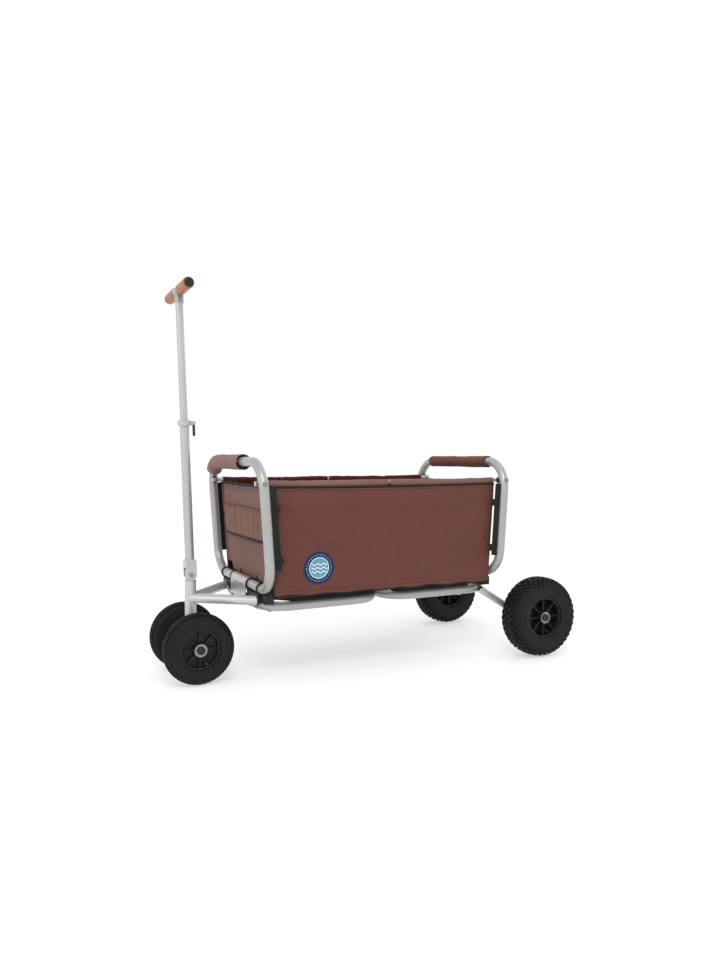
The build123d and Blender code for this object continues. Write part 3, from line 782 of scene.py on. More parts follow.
@dataclass
class EndCloth:
    """The tub's cloth at one end, with its black top binding."""

    plane: EndPlane
    offset: float = 0.021
    half_w: float = 0.213
    low: float = 0.010
    top: float = 0.299
    thick: float = 0.0022
    arm_y: float = 0.080
    corner_y: float = 0.172
    corner_low: float = 0.034

    def lower_edge(self, y: float) -> float:
        """Return the cloth's lower edge, raised over the hinge arms and at the corners."""
        notch = math.exp(-(((abs(y) - self.arm_y) / 0.0065) ** 6)) * 0.0135
        corner = 1 / (1 + math.exp(-(abs(y) - self.corner_y + 0.003) / 0.0012))
        return self.low + max(notch, corner * (self.corner_low - self.low))

    def surface(self, u: float, v: float) -> Vector:
        """Return the cloth's middle at a share across and a share up."""
        y = (2 * u - 1) * self.half_w
        low = self.lower_edge(y)
        up = low + v * (self.top - low) - 0.003 * math.sin(math.pi * u) * v
        belly = -0.0035 * math.sin(math.pi * u) * math.sin(math.pi * v)
        pull = 0.0010 * ripple(y, up, 3.1, 0.07) + 0.0006 * ripple(y * 2.2, up, 8.3, 0.035)
        gather = 0.0008 * math.sin(y * 95 + 2 * ripple(y, up, 5.0, 0.1)) * max(0.0, v - 0.72) * 3
        return self.plane.at(-self.offset + belly + pull + gather, y, up)

    def outside(self, u: float, v: float) -> tuple[Vector, Vector]:
        """Return a point on the cloth's outside and the way it faces."""
        return self.surface(u, v) + self.plane.out * self.thick / 2, self.plane.out

    def build(self) -> bpy.types.Object:
        end = self.plane.end
        cloth_name = f"{end}_cloth"
        # The front end takes a lighter copy of the canvas, painted light on its face; the rear keeps the
        # sides' colour.
        cloth = PALETTE.get(f"canvas_{end}")
        lining_and_shade = PALETTE.get("lining_and_shade_end")
        flip = end == "rear"
        body = f"{end}_frame"
        piece = Shell(cloth_name, self.surface, 150, 60, self.thick, flip=flip).build(cloth, lining_and_shade)
        line = [self.surface(k / 90, 1.0) - self.plane.up * 0.003 for k in range(91)]
        tape = sweep(
            f"{end}_top_binding",
            line,
            [self.plane.out] * 91,
            0.0105,
            self.thick + 0.0018,
            PALETTE.get("binding_end"),
        )
        rows = []
        for v in (0.955, 0.93):
            rows.append([self.outside(k / 120, v) for k in range(3, 118)])
        for u in (0.022, 0.978):
            rows.append([self.outside(u, k / 60) for k in range(8, 55)])
        seams = stitched(f"{end}_cloth_seams", rows, PALETTE.get("thread"))
        for part in (piece, tape, seams):
            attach(part, body)
        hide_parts(f"{end}_panel")
        return piece


@dataclass
class PocketFlap:
    """The gathered flap of the front pocket, bound in black along its lower edge."""

    plane: EndPlane
    offset: float = 0.0168
    half_w: float = 0.199
    low: float = 0.133
    top: float = 0.2235
    corner_r: float = 0.030
    thick: float = 0.0018

    def lower_edge(self, y: float) -> float:
        """Return the flap's lower edge, rounded at its corners."""
        past = max(0.0, abs(y) - (self.half_w - self.corner_r))
        return self.low + self.corner_r - math.sqrt(max(self.corner_r**2 - past**2, 0.0))

    def surface(self, u: float, v: float) -> Vector:
        """Return the flap's middle at a share across and a share up."""
        y = (2 * u - 1) * self.half_w
        low = self.lower_edge(y)
        up = low + v * (self.top - low)
        hang = 1.0 - (up - self.low) / (self.top - self.low)
        swell = 0.0062 * math.sin(math.pi * min(hang * 0.62, 1.0)) * math.sin(math.pi * u) ** 0.4
        sway = 7.5 * u + 0.45 * math.sin(6.0 * u + 0.8)
        wave = math.sin(math.tau * sway + 0.9 * ripple(y, up, 2.2, 0.09))
        second = math.sin(math.tau * 13.0 * u + 1.7 + 1.4 * ripple(y, up, 6.1, 0.08))
        gather = (0.0021 * wave + 0.0009 * second) * (0.25 + 0.75 * math.sin(math.pi * min(1.0, hang + 0.12)))
        return self.plane.at(-self.offset + swell * 0.9 + 0.0016 + gather * 0.85, y, up)

    def build(self) -> bpy.types.Object:
        # The flap's canvas is painted lighter with the light that falls on the front face.
        cloth = PALETTE.get("canvas_flap_painted_lighter")
        lining_and_shade = PALETTE.get("lining_and_shade_end")
        flap = Shell("pocket_flap_cloth", self.surface, 200, 40, self.thick).build(cloth, lining_and_shade)
        out = self.plane.out
        edge = [self.surface(0.0, 1 - k / 8 * 0.99) for k in range(3, 8)]
        edge += [self.surface(k / 160, 0.0) for k in range(0, 161)]
        edge += [self.surface(1.0, k / 8 * 0.99) for k in range(1, 6)]
        tape = sweep(
            "pocket_flap_binding",
            edge,
            [out] * len(edge),
            0.0095,
            self.thick + 0.0016,
            PALETTE.get("binding_end"),
        )
        row = [(self.surface(k / 150, 0.93) + out * self.thick / 2, out) for k in range(2, 149)]
        seam = stitched("pocket_flap_seam", [row], PALETTE.get("thread"))
        for part in (flap, tape, seam):
            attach(part, "pocket_flap")
        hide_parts("pocket_flap")
        return flap


@dataclass(frozen=True)
class Pull:
    """A fold that tension draws across a long side, from one place to another."""

    height: float
    start: tuple[float, float]
    end: tuple[float, float]
    wide: float


PULLS = (
    Pull(0.0045, (0.40, 0.575), (0.13, 0.35), 0.020),
    Pull(0.0040, (0.33, 0.33), (0.08, 0.50), 0.022),
    Pull(0.0034, (0.24, 0.44), (0.12, 0.37), 0.012),
    Pull(0.0042, (-0.37, 0.50), (-0.12, 0.33), 0.020),
    Pull(0.0028, (-0.36, 0.42), (-0.17, 0.30), 0.011),
    Pull(0.0024, (-0.30, 0.47), (-0.14, 0.40), 0.009),
    Pull(0.0035, (0.05, 0.57), (-0.16, 0.44), 0.018),
    Pull(0.0032, (-0.02, 0.25), (0.10, 0.36), 0.013),
    Pull(0.0026, (-0.05, 0.25), (-0.14, 0.35), 0.012),
)


@dataclass
class SideCloth:
    """One long side of the tub: hung cloth with bindings, corner returns and, on the left, the badge."""

    side: str
    front: EndPlane
    rear: EndPlane
    middle_y: float = 0.2392
    return_y: float = 0.2155
    low_front: float = 0.2590
    low_rear: float = 0.2505
    top: float = 0.5725
    offset: float = 0.0208
    turn_r: float = 0.009
    thick: float = 0.0022
    gusset_y: float = 0.2366
    floor_y: float = 0.2068
    floor_z: float = 0.2489
    badge_x: float = 0.2443
    badge_z: float = 0.336
    badge_r: float = 0.047

    def __post_init__(self) -> None:
        """Work out which way this side faces."""
        self.sign = 1.0 if self.side == "left" else -1.0
        self.seed = 1.7 if self.side == "left" else 14.2

    def hang(self, x: float, z: float) -> float:
        """Return how far the cloth stands out of its flat plane at a place on it."""
        high = (z - 0.25) / (self.top - 0.25)
        inside = max(0.0, 1 - (abs(x - 0.007) / 0.41) ** 6)
        belly = 0.0035 * math.cos(math.pi * (x - 0.007) / 0.86) * math.sin(math.pi * min(max(high, 0), 1))
        shoulder = 0.0030 * bell(z, 0.520, 0.020) - 0.0012 * bell(z, 0.482, 0.016)
        pulls = sum(pull.height * ridge(x, z, pull.start, pull.end, pull.wide) for pull in PULLS)
        soft = 0.0019 * ripple(x, z * 1.5, self.seed, 0.13) + 0.0009 * ripple(x, z * 1.2, self.seed + 4, 0.05)
        foot = max(0.0, 1 - high * 9)
        scallop = 0.0009 * (1 + math.sin(x * 58 + 2.2 * ripple(x, 0.0, self.seed + 9, 0.15))) * foot
        near_top = min(1.0, max(0.0, (self.top - z) / 0.02))
        stand = inside * (belly + 1.4 * shoulder + 2.0 * pulls + 1.3 * soft) * (0.15 + 0.85 * near_top)
        return (stand + math.hypot(stand, 0.0012)) / 2 + scallop

    def path(self, share: float, z: float) -> tuple[float, float]:
        """Return X and Y along the side at one height, corner returns included."""
        x_front, x_rear = self.front.x_at(z, -self.offset), self.rear.x_at(z, -self.offset)
        back = self.middle_y - self.return_y - self.turn_r
        arc = self.turn_r * math.pi / 2
        flat = x_front - x_rear - 2 * self.turn_r
        far = share * (2 * back + 2 * arc + flat)
        if far < back:
            return x_rear, self.return_y + far
        if far < back + arc:
            turn = (far - back) / self.turn_r
            x = x_rear + self.turn_r * (1 - math.cos(turn))
            return x, self.middle_y - self.turn_r * (1 - math.sin(turn))
        if far < back + arc + flat:
            return x_rear + self.turn_r + far - back - arc, self.middle_y
        if far < back + 2 * arc + flat:
            turn = (far - back - arc - flat) / self.turn_r
            x = x_front - self.turn_r * (1 - math.sin(turn))
            return x, self.middle_y - self.turn_r * (1 - math.cos(turn))
        return x_front, self.middle_y - self.turn_r - (far - back - 2 * arc - flat)

    def bottom(self, share: float) -> float:
        """Return the height of the lower edge along the side."""
        level = self.low_rear + (self.low_front - self.low_rear) * share
        wavy = 0.0013 * math.sin(share * 41 + 1.2) + 0.0016 * ripple(share, 0.0, self.seed + 20, 0.09)
        end = min(share, 1 - share)
        lift = 0.050 * max(0.0, 1 - end / 0.022) ** 2
        return level + wavy + lift

    def upper(self, share: float) -> float:
        """Return the height of the top edge, sagging between the frames."""
        end = min(share, 1 - share)
        return self.top - 0.0035 * math.sin(math.pi * share) - 0.014 * max(0.0, 1 - end / 0.024) ** 2

    def surface(self, u: float, v: float) -> Vector:
        """Return the cloth's middle at a share along and a share up."""
        low, high = self.bottom(u), self.upper(u)
        z = low + v * (high - low)
        x, y = self.path(u, z)
        return Vector((x, self.sign * (y + self.hang(x, z)), z))

    def on_face(self, x: float, z: float, proud: float) -> Vector:
        """Return the point that stands proud of the cloth's outside at a place on its flat part."""
        return Vector((x, self.sign * (self.middle_y + self.hang(x, z) + self.thick / 2 + proud), z))

    def edge(self, v: float, steps: int, inset: float) -> tuple[list[Vector], list[Vector]]:
        """Return points along the top or bottom edge and the way the cloth faces at each.

        Args:
            v: 1 for the top edge and 0 for the bottom one.
            steps: How many runs the edge is divided into.
            inset: How far the line lies inside the edge.

        Returns:
            The points and the facings.
        """
        line, faces = [], []
        inward = Vector((0.0, 0.0, -inset if v > 0.5 else inset))
        for k in range(steps + 1):
            u = k / steps
            here = self.surface(u, v)
            run = self.surface(min(u + 0.002, 1), v) - self.surface(max(u - 0.002, 0), v)
            line.append(here + inward)
            faces.append(Vector((run.y, -run.x, 0.0)).normalized() * -self.sign)
        return line, faces

    def seam_rows(self) -> list[list[tuple[Vector, Vector]]]:
        """Return the rows of stitches near both ends and along the top and bottom."""
        out = Vector((0.0, self.sign, 0.0))
        sag = 0.0035
        rows = [
            [(self.on_face(x / 500, 0.5610 - sag * math.cos(x / 128), 0.0), out) for x in range(-180, 188)],
            [(self.on_face(x / 500, 0.266 + 0.008 * (x + 180) / 368, 0.0), out) for x in range(-180, 186)],
        ]
        for low_x, high_x in ((0.366, 0.386), (-0.352, -0.372)):
            run = high_x - low_x
            row = [self.on_face(low_x + run * k / 60, 0.270 + 0.295 * k / 60, 0.0) for k in range(61)]
            rows.append([(place, out) for place in row])
        return rows

    def gusset(self, cloth: bpy.types.Material) -> bpy.types.Object:
        """Build the strip of cloth that joins the hem to the floor."""

        def surface(u: float, v: float) -> Vector:
            """Return the strip's middle at a share along and a share inward."""
            share = 0.04 + 0.92 * u
            z = (self.bottom(share) + 0.0032) * (1 - v) + self.floor_z * v
            y = self.gusset_y * (1 - v) + self.floor_y * v
            return Vector((self.path(share, z)[0], self.sign * y, z - 0.0006 * math.sin(math.pi * v)))

        name = f"{self.side}_floor_gusset"
        return Shell(name, surface, 120, 6, 0.0016, flip=self.sign < 0).build(cloth)

    def badge(self) -> list[bpy.types.Object]:
        """Build the plain round badge with its ring and waves."""
        out = Vector((0.0, self.sign, 0.0))
        navy = PALETTE.get("badge_navy")
        pale = PALETTE.get("badge_pale")
        blue = PALETTE.get("badge_blue")

        def spot(angle: float, radius: float, proud: float) -> Vector:
            """Return a point of the badge by angle and radius."""
            x, z = self.badge_x + radius * math.cos(angle), self.badge_z + radius * math.sin(angle)
            return self.on_face(x, z, proud)

        bm = bmesh.new()
        centre = bm.verts.new(spot(0.0, 0.0, 0.0012))
        rings = []
        radii = [self.badge_r * k / 14 for k in range(1, 15)]
        for radius in radii:
            proud = 0.0012 if radius < self.badge_r - 0.002 else 0.0003
            rings.append([bm.verts.new(spot(math.tau * k / 72, radius, proud)) for k in range(72)])
        for k in range(72):
            bm.faces.new((centre, rings[0][k], rings[0][(k + 1) % 72])).material_index = 1
        for i, (one, two) in enumerate(zip(rings, rings[1:])):
            for k in range(72):
                face = bm.faces.new((one[k], two[k], two[(k + 1) % 72], one[(k + 1) % 72]))
                face.material_index = 1 if i < 8 else 0
        disc = finished("badge_disc", bm, [navy, blue])
        around = [math.tau * k / 96 for k in range(96)]
        parts = [disc]
        for label, radius, wide in (("inner", 0.0300, 0.0024), ("outer", self.badge_r - 0.0015, 0.0026)):
            ring = [spot(t, radius, 0.0014) for t in around]
            finish = pale if label == "inner" else navy
            name = f"badge_{label}_ring"
            parts.append(sweep(name, ring, [out] * 96, wide, 0.0014, finish, square=2.0, loop=True))
        for row, level in enumerate((0.010, -0.001, -0.012)):
            half = math.sqrt(0.0285**2 - level**2) - 0.003
            wave = []
            for k in range(49):
                x = -half + 2 * half * k / 48
                z = self.badge_z + level + 0.0024 * math.sin(x * 330)
                wave.append(self.on_face(self.badge_x + x, z, 0.0015))
            parts.append(sweep(f"badge_wave_{row + 1}", wave, [out] * 49, 0.0030, 0.0014, pale, square=2.0))
        dots = [[(spot(t, 0.0385, 0.0012), out) for t in [*around, 0.0, around[1]]]]
        parts.append(stitched("badge_stitching", dots, pale, long=0.0040, gap=0.0042, thick=0.0014))
        return parts

    def build(self) -> bpy.types.Object:
        cloth = PALETTE.get("canvas_side")
        # The lining, also used for the floor gusset, holds painted shade of the tub's inside besides its own
        # colour.
        lining_and_shade = PALETTE.get("lining_and_shade_side")
        tape = PALETTE.get("binding_side")
        left = self.sign > 0
        skin = Shell(f"{self.side}_side_cloth", self.surface, 300, 110, self.thick, flip=left)
        piece = skin.build(cloth, lining_and_shade)
        line, faces = self.edge(1.0, 220, 0.0022)
        top = sweep(f"{self.side}_top_binding", line, faces, 0.0070, self.thick + 0.0018, tape)
        line, faces = self.edge(0.0, 220, 0.0018)
        hem = sweep(f"{self.side}_bottom_binding", line, faces, 0.0052, self.thick + 0.0016, tape)
        thread = PALETTE.get("thread")
        seams = stitched(f"{self.side}_side_seams", self.seam_rows(), thread)
        parts = [piece, top, hem, seams, self.gusset(lining_and_shade)] + (self.badge() if left else [])
        anchor_x = self.rear.x_at(0.40, -self.offset)
        for part in parts:
            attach(part, "rear_frame")
            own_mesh(part)
        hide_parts(f"{self.side}_side_panel")
        return piece


@dataclass
class RailSleeve:
    """The gathered cloth channel round one half of a side rail."""

    end: str
    side: str
    radius: float = 0.0098
    thick: float = 0.0016

    def __post_init__(self) -> None:
        """Read the sleeve's run from its part's box."""
        low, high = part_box(f"{self.end}_{self.side}_rail_sleeve")
        self.start, self.stop = low.x, high.x
        if self.end == "front":
            self.start -= 0.0035
        else:
            self.stop += 0.0035
        self.centre_y, self.centre_z = (low.y + high.y) / 2, (low.z + high.z) / 2
        self.seed = 2.0 + (5.0 if self.end == "front" else 0.0) + (11.0 if self.side == "left" else 0.0)

    def surface(self, u: float, v: float) -> Vector:
        """Return the cloth's middle at a share round and a share along."""
        x = self.start + (self.stop - self.start) * v
        angle = math.tau * u
        outward = 1.0 if self.side == "left" else -1.0
        down = 0.5 - 0.5 * math.sin(angle)
        to_middle = abs(x - 0.007)
        slim = max(0.0, 1 - to_middle / 0.03)
        pucker = abs(math.sin(x * 112 + 2.4 * ripple(x, 0.0, self.seed, 0.06)))
        lump = 0.0010 * ripple(x, angle * 0.02, self.seed + 3, 0.016)
        lump += 0.0011 * ripple(x, angle * 0.015, self.seed, 0.04)
        free = 1 - max(math.cos(angle), 0.0)
        radius = self.radius + (0.0034 * pucker * down + lump) * (1 - slim) * free - 0.0017 * slim
        sag = -0.0026 * math.sin(math.pi * min(1.0, to_middle / 0.39)) - 0.0012
        y = self.centre_y + outward * radius * math.cos(angle)
        z = self.centre_z + sag + radius * (1.0 + 0.5 * down) * math.sin(angle)
        return Vector((x, y, z))

    def build(self) -> bpy.types.Object:
        cloth = PALETTE.get("canvas_rail")
        lining_and_shade = PALETTE.get("lining_and_shade_rail")
        flip = self.side == "left"
        name = f"{self.end}_{self.side}_rail_cloth"
        skin = Shell(name, self.surface, 28, 260, self.thick, wrap_across=True, flip=flip)
        piece = skin.build(cloth, lining_and_shade)
        # The half facing into the tub takes the lining colour: partly the lining's own tone, partly painted
        # shade.
        for face in piece.data.polygons:
            face.material_index = int((face.center.y - self.centre_y) * (1.0 if flip else -1.0) < -0.002)
        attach(piece, f"{self.end}_{self.side}_rail")
        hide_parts(f"{self.end}_{self.side}_rail_sleeve")
        return piece


@dataclass
class HandleSleeve:
    """The padded cloth sleeve on one end frame's top bar."""

    plane: EndPlane
    near_y: float
    far_y: float
    radius: float
    bend: float = 0.0
    thick: float = 0.0018

    def centre(self, far: float) -> tuple[Vector, Vector]:
        """Return the bar's centre that far along the sleeve and the way across it, away from the loop."""
        straight = self.near_y - self.far_y
        if far <= straight:
            return self.plane.at(0.0, self.near_y - far, self.plane.height), self.plane.up.copy()
        turn = (far - straight) / self.plane.corner_r
        y = self.far_y - self.plane.corner_r * math.sin(turn)
        up = self.plane.height - self.plane.corner_r * (1 - math.cos(turn))
        away = self.plane.up * math.cos(turn) + Vector((0.0, -math.sin(turn), 0.0))
        return self.plane.at(0.0, y, up), away

    def length(self) -> float:
        """Return the sleeve's length along the bar."""
        return self.near_y - self.far_y + self.plane.corner_r * self.bend

    def surface(self, u: float, v: float) -> Vector:
        """Return the cloth's middle at a share round and a share along."""
        far = v * self.length()
        middle, away = self.centre(far)
        angle = math.tau * u
        pad = ripple(far, angle * 0.03, 4.4, 0.075)
        fine = ripple(far, angle * 0.02, 9.9, 0.02)
        mouth = math.exp(-((far / 0.012) ** 2)) + math.exp(-(((self.length() - far) / 0.010) ** 2))
        waist = 0.0012 * math.exp(-(((far - self.length() * 0.52) / 0.006) ** 2))
        radius = self.radius - 0.0012 + 0.0012 * pad + 0.0006 * fine - waist + 0.0004 * mouth
        flat = 1.0 - 0.06 * abs(math.sin(angle))
        seam = 0.0018 * math.exp(-(((u - 0.70) / 0.02) ** 2))
        drop = away * (-0.0010)
        side = self.plane.out * math.cos(angle) * (radius + seam)
        return middle + drop + side + away * math.sin(angle) * (radius * flat + seam)

    def pad_surface(self, u: float, v: float) -> Vector:
        """Return the middle of the foam between bar and cloth."""
        far = 0.005 + v * (self.length() - 0.010)
        middle, away = self.centre(far)
        angle = math.tau * u
        radius = (self.radius - 0.003 + 0.0146) / 2
        return middle + (self.plane.out * math.cos(angle) + away * math.sin(angle)) * radius

    def build(self) -> bpy.types.Object:
        """Build and dress the sleeve and its foam."""
        end = self.plane.end
        cloth = PALETTE.get(f"canvas_{end}_handle")
        dark = PALETTE.get("lining_black")
        flip = end == "rear"
        name = f"{end}_handle_cloth"
        piece = Shell(name, self.surface, 48, 130, self.thick, wrap_across=True, flip=flip).build(cloth, dark)
        foam_thick = max(self.radius - 0.003 - 0.0146, 0.002)
        foam = Shell(f"{end}_handle_foam", self.pad_surface, 40, 60, foam_thick, wrap_across=True).build(
            PALETTE.get("foam")
        )
        thread = PALETTE.get("thread")
        rows = []
        for u in (0.668, 0.732):
            row = []
            for k in range(2, 89):
                here = self.surface(u, k / 90)
                middle, _ = self.centre(k / 90 * self.length())
                facing = (here - middle).normalized()
                row.append((here + facing * self.thick / 2, facing))
            rows.append(row)
        seams = stitched(f"{end}_handle_seams", rows, thread)
        for part in (piece, foam, seams):
            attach(part, f"{end}_frame")
        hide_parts(f"{end}_handle_sleeve")
        return piece


@dataclass
class SleeveRod:
    """The slim stiffening rod that shows in the front sleeve's open end."""

    plane: EndPlane
    near_y: float
    out: float = 0.0178
    up: float = 0.0022
    outer_r: float = 0.0048
    inner_r: float = 0.0030

    def build(self) -> bpy.types.Object:
        """Build and dress the rod."""
        start = self.plane.at(self.out, self.near_y + 0.0025, self.plane.height + self.up)
        outer, inner = self.outer_r, self.inner_r
        ring = [(outer, 0.05), (outer, 0.0006), (outer - 0.0006, 0.0), (inner, 0.0), (inner, 0.02)]
        rod = turned_part("sleeve_rod", start, Vector((0, -1, 0)), ring, PALETTE.get("steel"))
        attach(rod, "front_frame")
        return rod


@dataclass
class FloorMat:
    """The stiffened cloth floor on one floor board."""

    end: str
    inset: float = 0.004
    cut: float = 0.062
    thick: float = 0.0022

    def build(self) -> bpy.types.Object:
        low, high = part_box(f"{self.end}_floor_board")
        outward = 1.0 if self.end == "front" else -1.0
        inner, outer = (low.x, high.x) if outward > 0 else (high.x, low.x)
        half = high.y - self.inset
        span = abs(outer - inner) - 2 * self.inset
        top = high.z

        def surface(u: float, v: float) -> Vector:
            """Return the mat's middle at a share along and a share across."""
            x_far = self.inset + u * span
            from_end = span + self.inset - x_far
            room = half - max(0.0, self.cut - from_end)
            y = (2 * v - 1) * room
            puff = 0.0012 * math.sin(math.pi * u) * math.sin(math.pi * v)
            puff += 0.0005 * ripple(x_far, y, 7.7, 0.06)
            quilt = 0.0006 * abs(math.sin(x_far * 38)) + 0.0004
            z = top + 0.0004 + self.thick / 2 + max(0.0, puff) + quilt
            return Vector((inner + outward * x_far, y, z))

        cloth = PALETTE.get("canvas_floor")
        mat = Shell(f"{self.end}_floor_cloth", surface, 60, 70, self.thick, flip=outward < 0).build(cloth)
        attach(mat, f"{self.end}_chassis")
        return mat


class Tread(Enum):
    """The two tread patterns."""

    RIBBED = "ribs round the middle with lugs on the shoulders"
    BLOCKS = "staggered rows of blocks"


@dataclass(frozen=True)
class LugRow:
    """One ring of tread lugs; lengths are shares of the lugs' spacing and of the section."""

    between: bool
    wide: float
    low: float
    high: float
    height: float = 1.0
    skew: float = 0.0


TREADS = {
    Tread.BLOCKS: (
        LugRow(False, 0.66, 0.020, 0.125, skew=0.20),
        LugRow(True, 0.66, 0.150, 0.250, skew=0.12),
        LugRow(False, 0.62, 0.275, 0.370, height=0.95),
        LugRow(True, 0.44, 0.392, 0.530, height=0.72),
    ),
    Tread.RIBBED: (
        LugRow(False, 0.84, 0.022, 0.110, skew=0.24),
        LugRow(True, 0.80, 0.138, 0.235, skew=0.20),
        LugRow(False, 0.52, 0.262, 0.530, height=0.80, skew=0.10),
    ),
}


@dataclass
class Tyre:
    """A treaded tyre that takes the place of a plain carcass."""

    wheel: str
    tread: Tread
    rim_r: float
    lugs: int
    skin: float = 0.0030
    bead_in: float = 0.0098

    def __post_init__(self) -> None:
        """Read the tyre's size and place from its part's box."""
        low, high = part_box(f"{self.wheel}_tyre")
        self.centre = (low + high) / 2
        self.outer_r = (high.z - low.z) / 2
        self.half_w = (high.y - low.y) / 2
        self.tread_depth = (self.outer_r - self.rim_r) * 0.082
        self.crown_r = self.outer_r - self.tread_depth - self.skin / 2
        self.wide_r = self.rim_r + 0.54 * (self.outer_r - self.rim_r)
        self.bead_r = self.rim_r + 0.0018
        self.bead_y = self.half_w - self.bead_in + 0.0012

    def section(self, share: float) -> tuple[float, float]:
        """Return radius and sideways place, from -1 at one bead over 0 at the crown to 1."""
        side = math.copysign(1.0, share)
        far = abs(share)
        most = self.half_w - self.skin / 2 - 0.0006
        if far < 0.6:
            turn = far / 0.6 * math.pi / 2
            y = most * math.sin(turn) ** 0.86
            r = self.wide_r + (self.crown_r - self.wide_r) * max(math.cos(turn), 0.0) ** 0.72
            return r, side * y
        turn = (far - 0.6) / 0.4 * math.pi / 2
        y = self.bead_y + (most - self.bead_y) * max(math.cos(turn), 0.0) ** 0.85
        r = self.wide_r - (self.wide_r - self.bead_r) * math.sin(turn) ** 1.05
        y += 0.0011 * bell(far, 0.74, 0.010) + 0.0012 * bell(far, 0.90, 0.016)
        return r, side * min(y, most + 0.0011)

    def at(self, turn: float, share: float, proud: float) -> Vector:
        """Return a point that stands proud of the carcass."""
        r, y = self.section(share)
        r1, y1 = self.section(min(share + 0.01, 1.0))
        r0, y0 = self.section(max(share - 0.01, -1.0))
        size = math.hypot(r1 - r0, y1 - y0) or 1.0
        out_r, out_y = (y1 - y0) / size, -(r1 - r0) / size
        r, y = r + out_r * proud, y + out_y * proud
        return self.centre + Vector((r * math.cos(turn), y, r * math.sin(turn)))

    def lug(
        self,
        bm: bmesh.types.BMesh,
        turn: float,
        wide: float,
        low: float,
        high: float,
        height: float,
        skew: float,
    ) -> None:
        """Add one tread block.

        Args:
            bm: The mesh it goes into.
            turn: Angle of the block's middle.
            wide: The angle it covers.
            low: Where it starts across the section.
            high: Where it ends across the section.
            height: How far its top stands out of the carcass.
            skew: How far its far end is turned on from its near end.
        """
        steps = (0.0, 0.5, 1.0)
        base, top = {}, {}
        for i, a in enumerate(steps):
            for j, b in enumerate(steps):
                share = low + (high - low) * b
                angle = turn + wide * (a - 0.5) + skew * (b - 0.5)
                if a != 0.5 or b != 0.5:
                    base[i, j] = bm.verts.new(self.at(angle, share, -0.0006))
                tight = 0.5 + (a - 0.5) * 0.84
                share_top = low + (high - low) * (0.5 + (b - 0.5) * 0.88)
                angle_top = turn + wide * (tight - 0.5) + skew * (b - 0.5)
                top[i, j] = bm.verts.new(self.at(angle_top, share_top, height))
        for i in range(2):
            for j in range(2):
                bm.faces.new((top[i, j], top[i + 1, j], top[i + 1, j + 1], top[i, j + 1]))
        rim = [(0, 0), (1, 0), (2, 0), (2, 1), (2, 2), (1, 2), (0, 2), (0, 1)]
        for one, two in zip(rim, rim[1:] + rim[:1]):
            bm.faces.new((base[one], base[two], top[two], top[one]))

    def tread_mesh(self) -> bmesh.types.BMesh:
        """Build every lug and rib of the tread."""
        bm = bmesh.new()
        step = math.tau / self.lugs
        deep = self.tread_depth + self.skin / 2 - 0.0002
        for k in range(self.lugs):
            for side in (-1, 1):
                late = k * step + (step / 2 if side > 0 else 0.0)
                for row in TREADS[self.tread]:
                    turn = late + step / 2 if row.between else late
                    skew = step * row.skew * side
                    low, high = side * row.low, side * row.high
                    self.lug(bm, turn, step * row.wide, low, high, deep * row.height, skew)
        bmesh.ops.recalc_face_normals(bm, faces=bm.faces)
        return bm

    def build(self) -> bpy.types.Object:
        """Build and dress the carcass, the tread and the valve."""
        rubber = PALETTE.get("rubber")

        def skin(u: float, v: float) -> Vector:
            """Return the carcass at a share across and a share round."""
            return self.at(v * math.tau, 2 * u - 1, 0.0)

        body = f"{self.wheel}_wheel"
        carcass = Shell(f"{self.wheel}_carcass", skin, 84, 120, self.skin, wrap_along=True).build(rubber)
        worn = PALETTE.get("tread_rubber")
        tread = finished(f"{self.wheel}_tread", self.tread_mesh(), [worn], smooth=False)
        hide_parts(f"{self.wheel}_tyre")
        outward = 1.0 if self.centre.y > 0 else -1.0
        angle = math.radians(248)
        reach = self.rim_r - 0.0125
        foot = self.centre + Vector((reach * math.cos(angle), outward * 0.0030, reach * math.sin(angle)))
        stem = [(0.0040, 0.0), (0.0040, 0.006), (0.0028, 0.008), (0.0028, 0.013)]
        stem += [(0.0034, 0.0132), (0.0034, 0.0188), (0.0022, 0.020)]
        cap = PALETTE.get("valve_cap")
        valve = turned_part(f"{self.wheel}_valve", foot, Vector((0, outward, 0)), stem, cap, 20)
        for part in (carcass, tread, valve):
            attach(part, body)
        return carcass


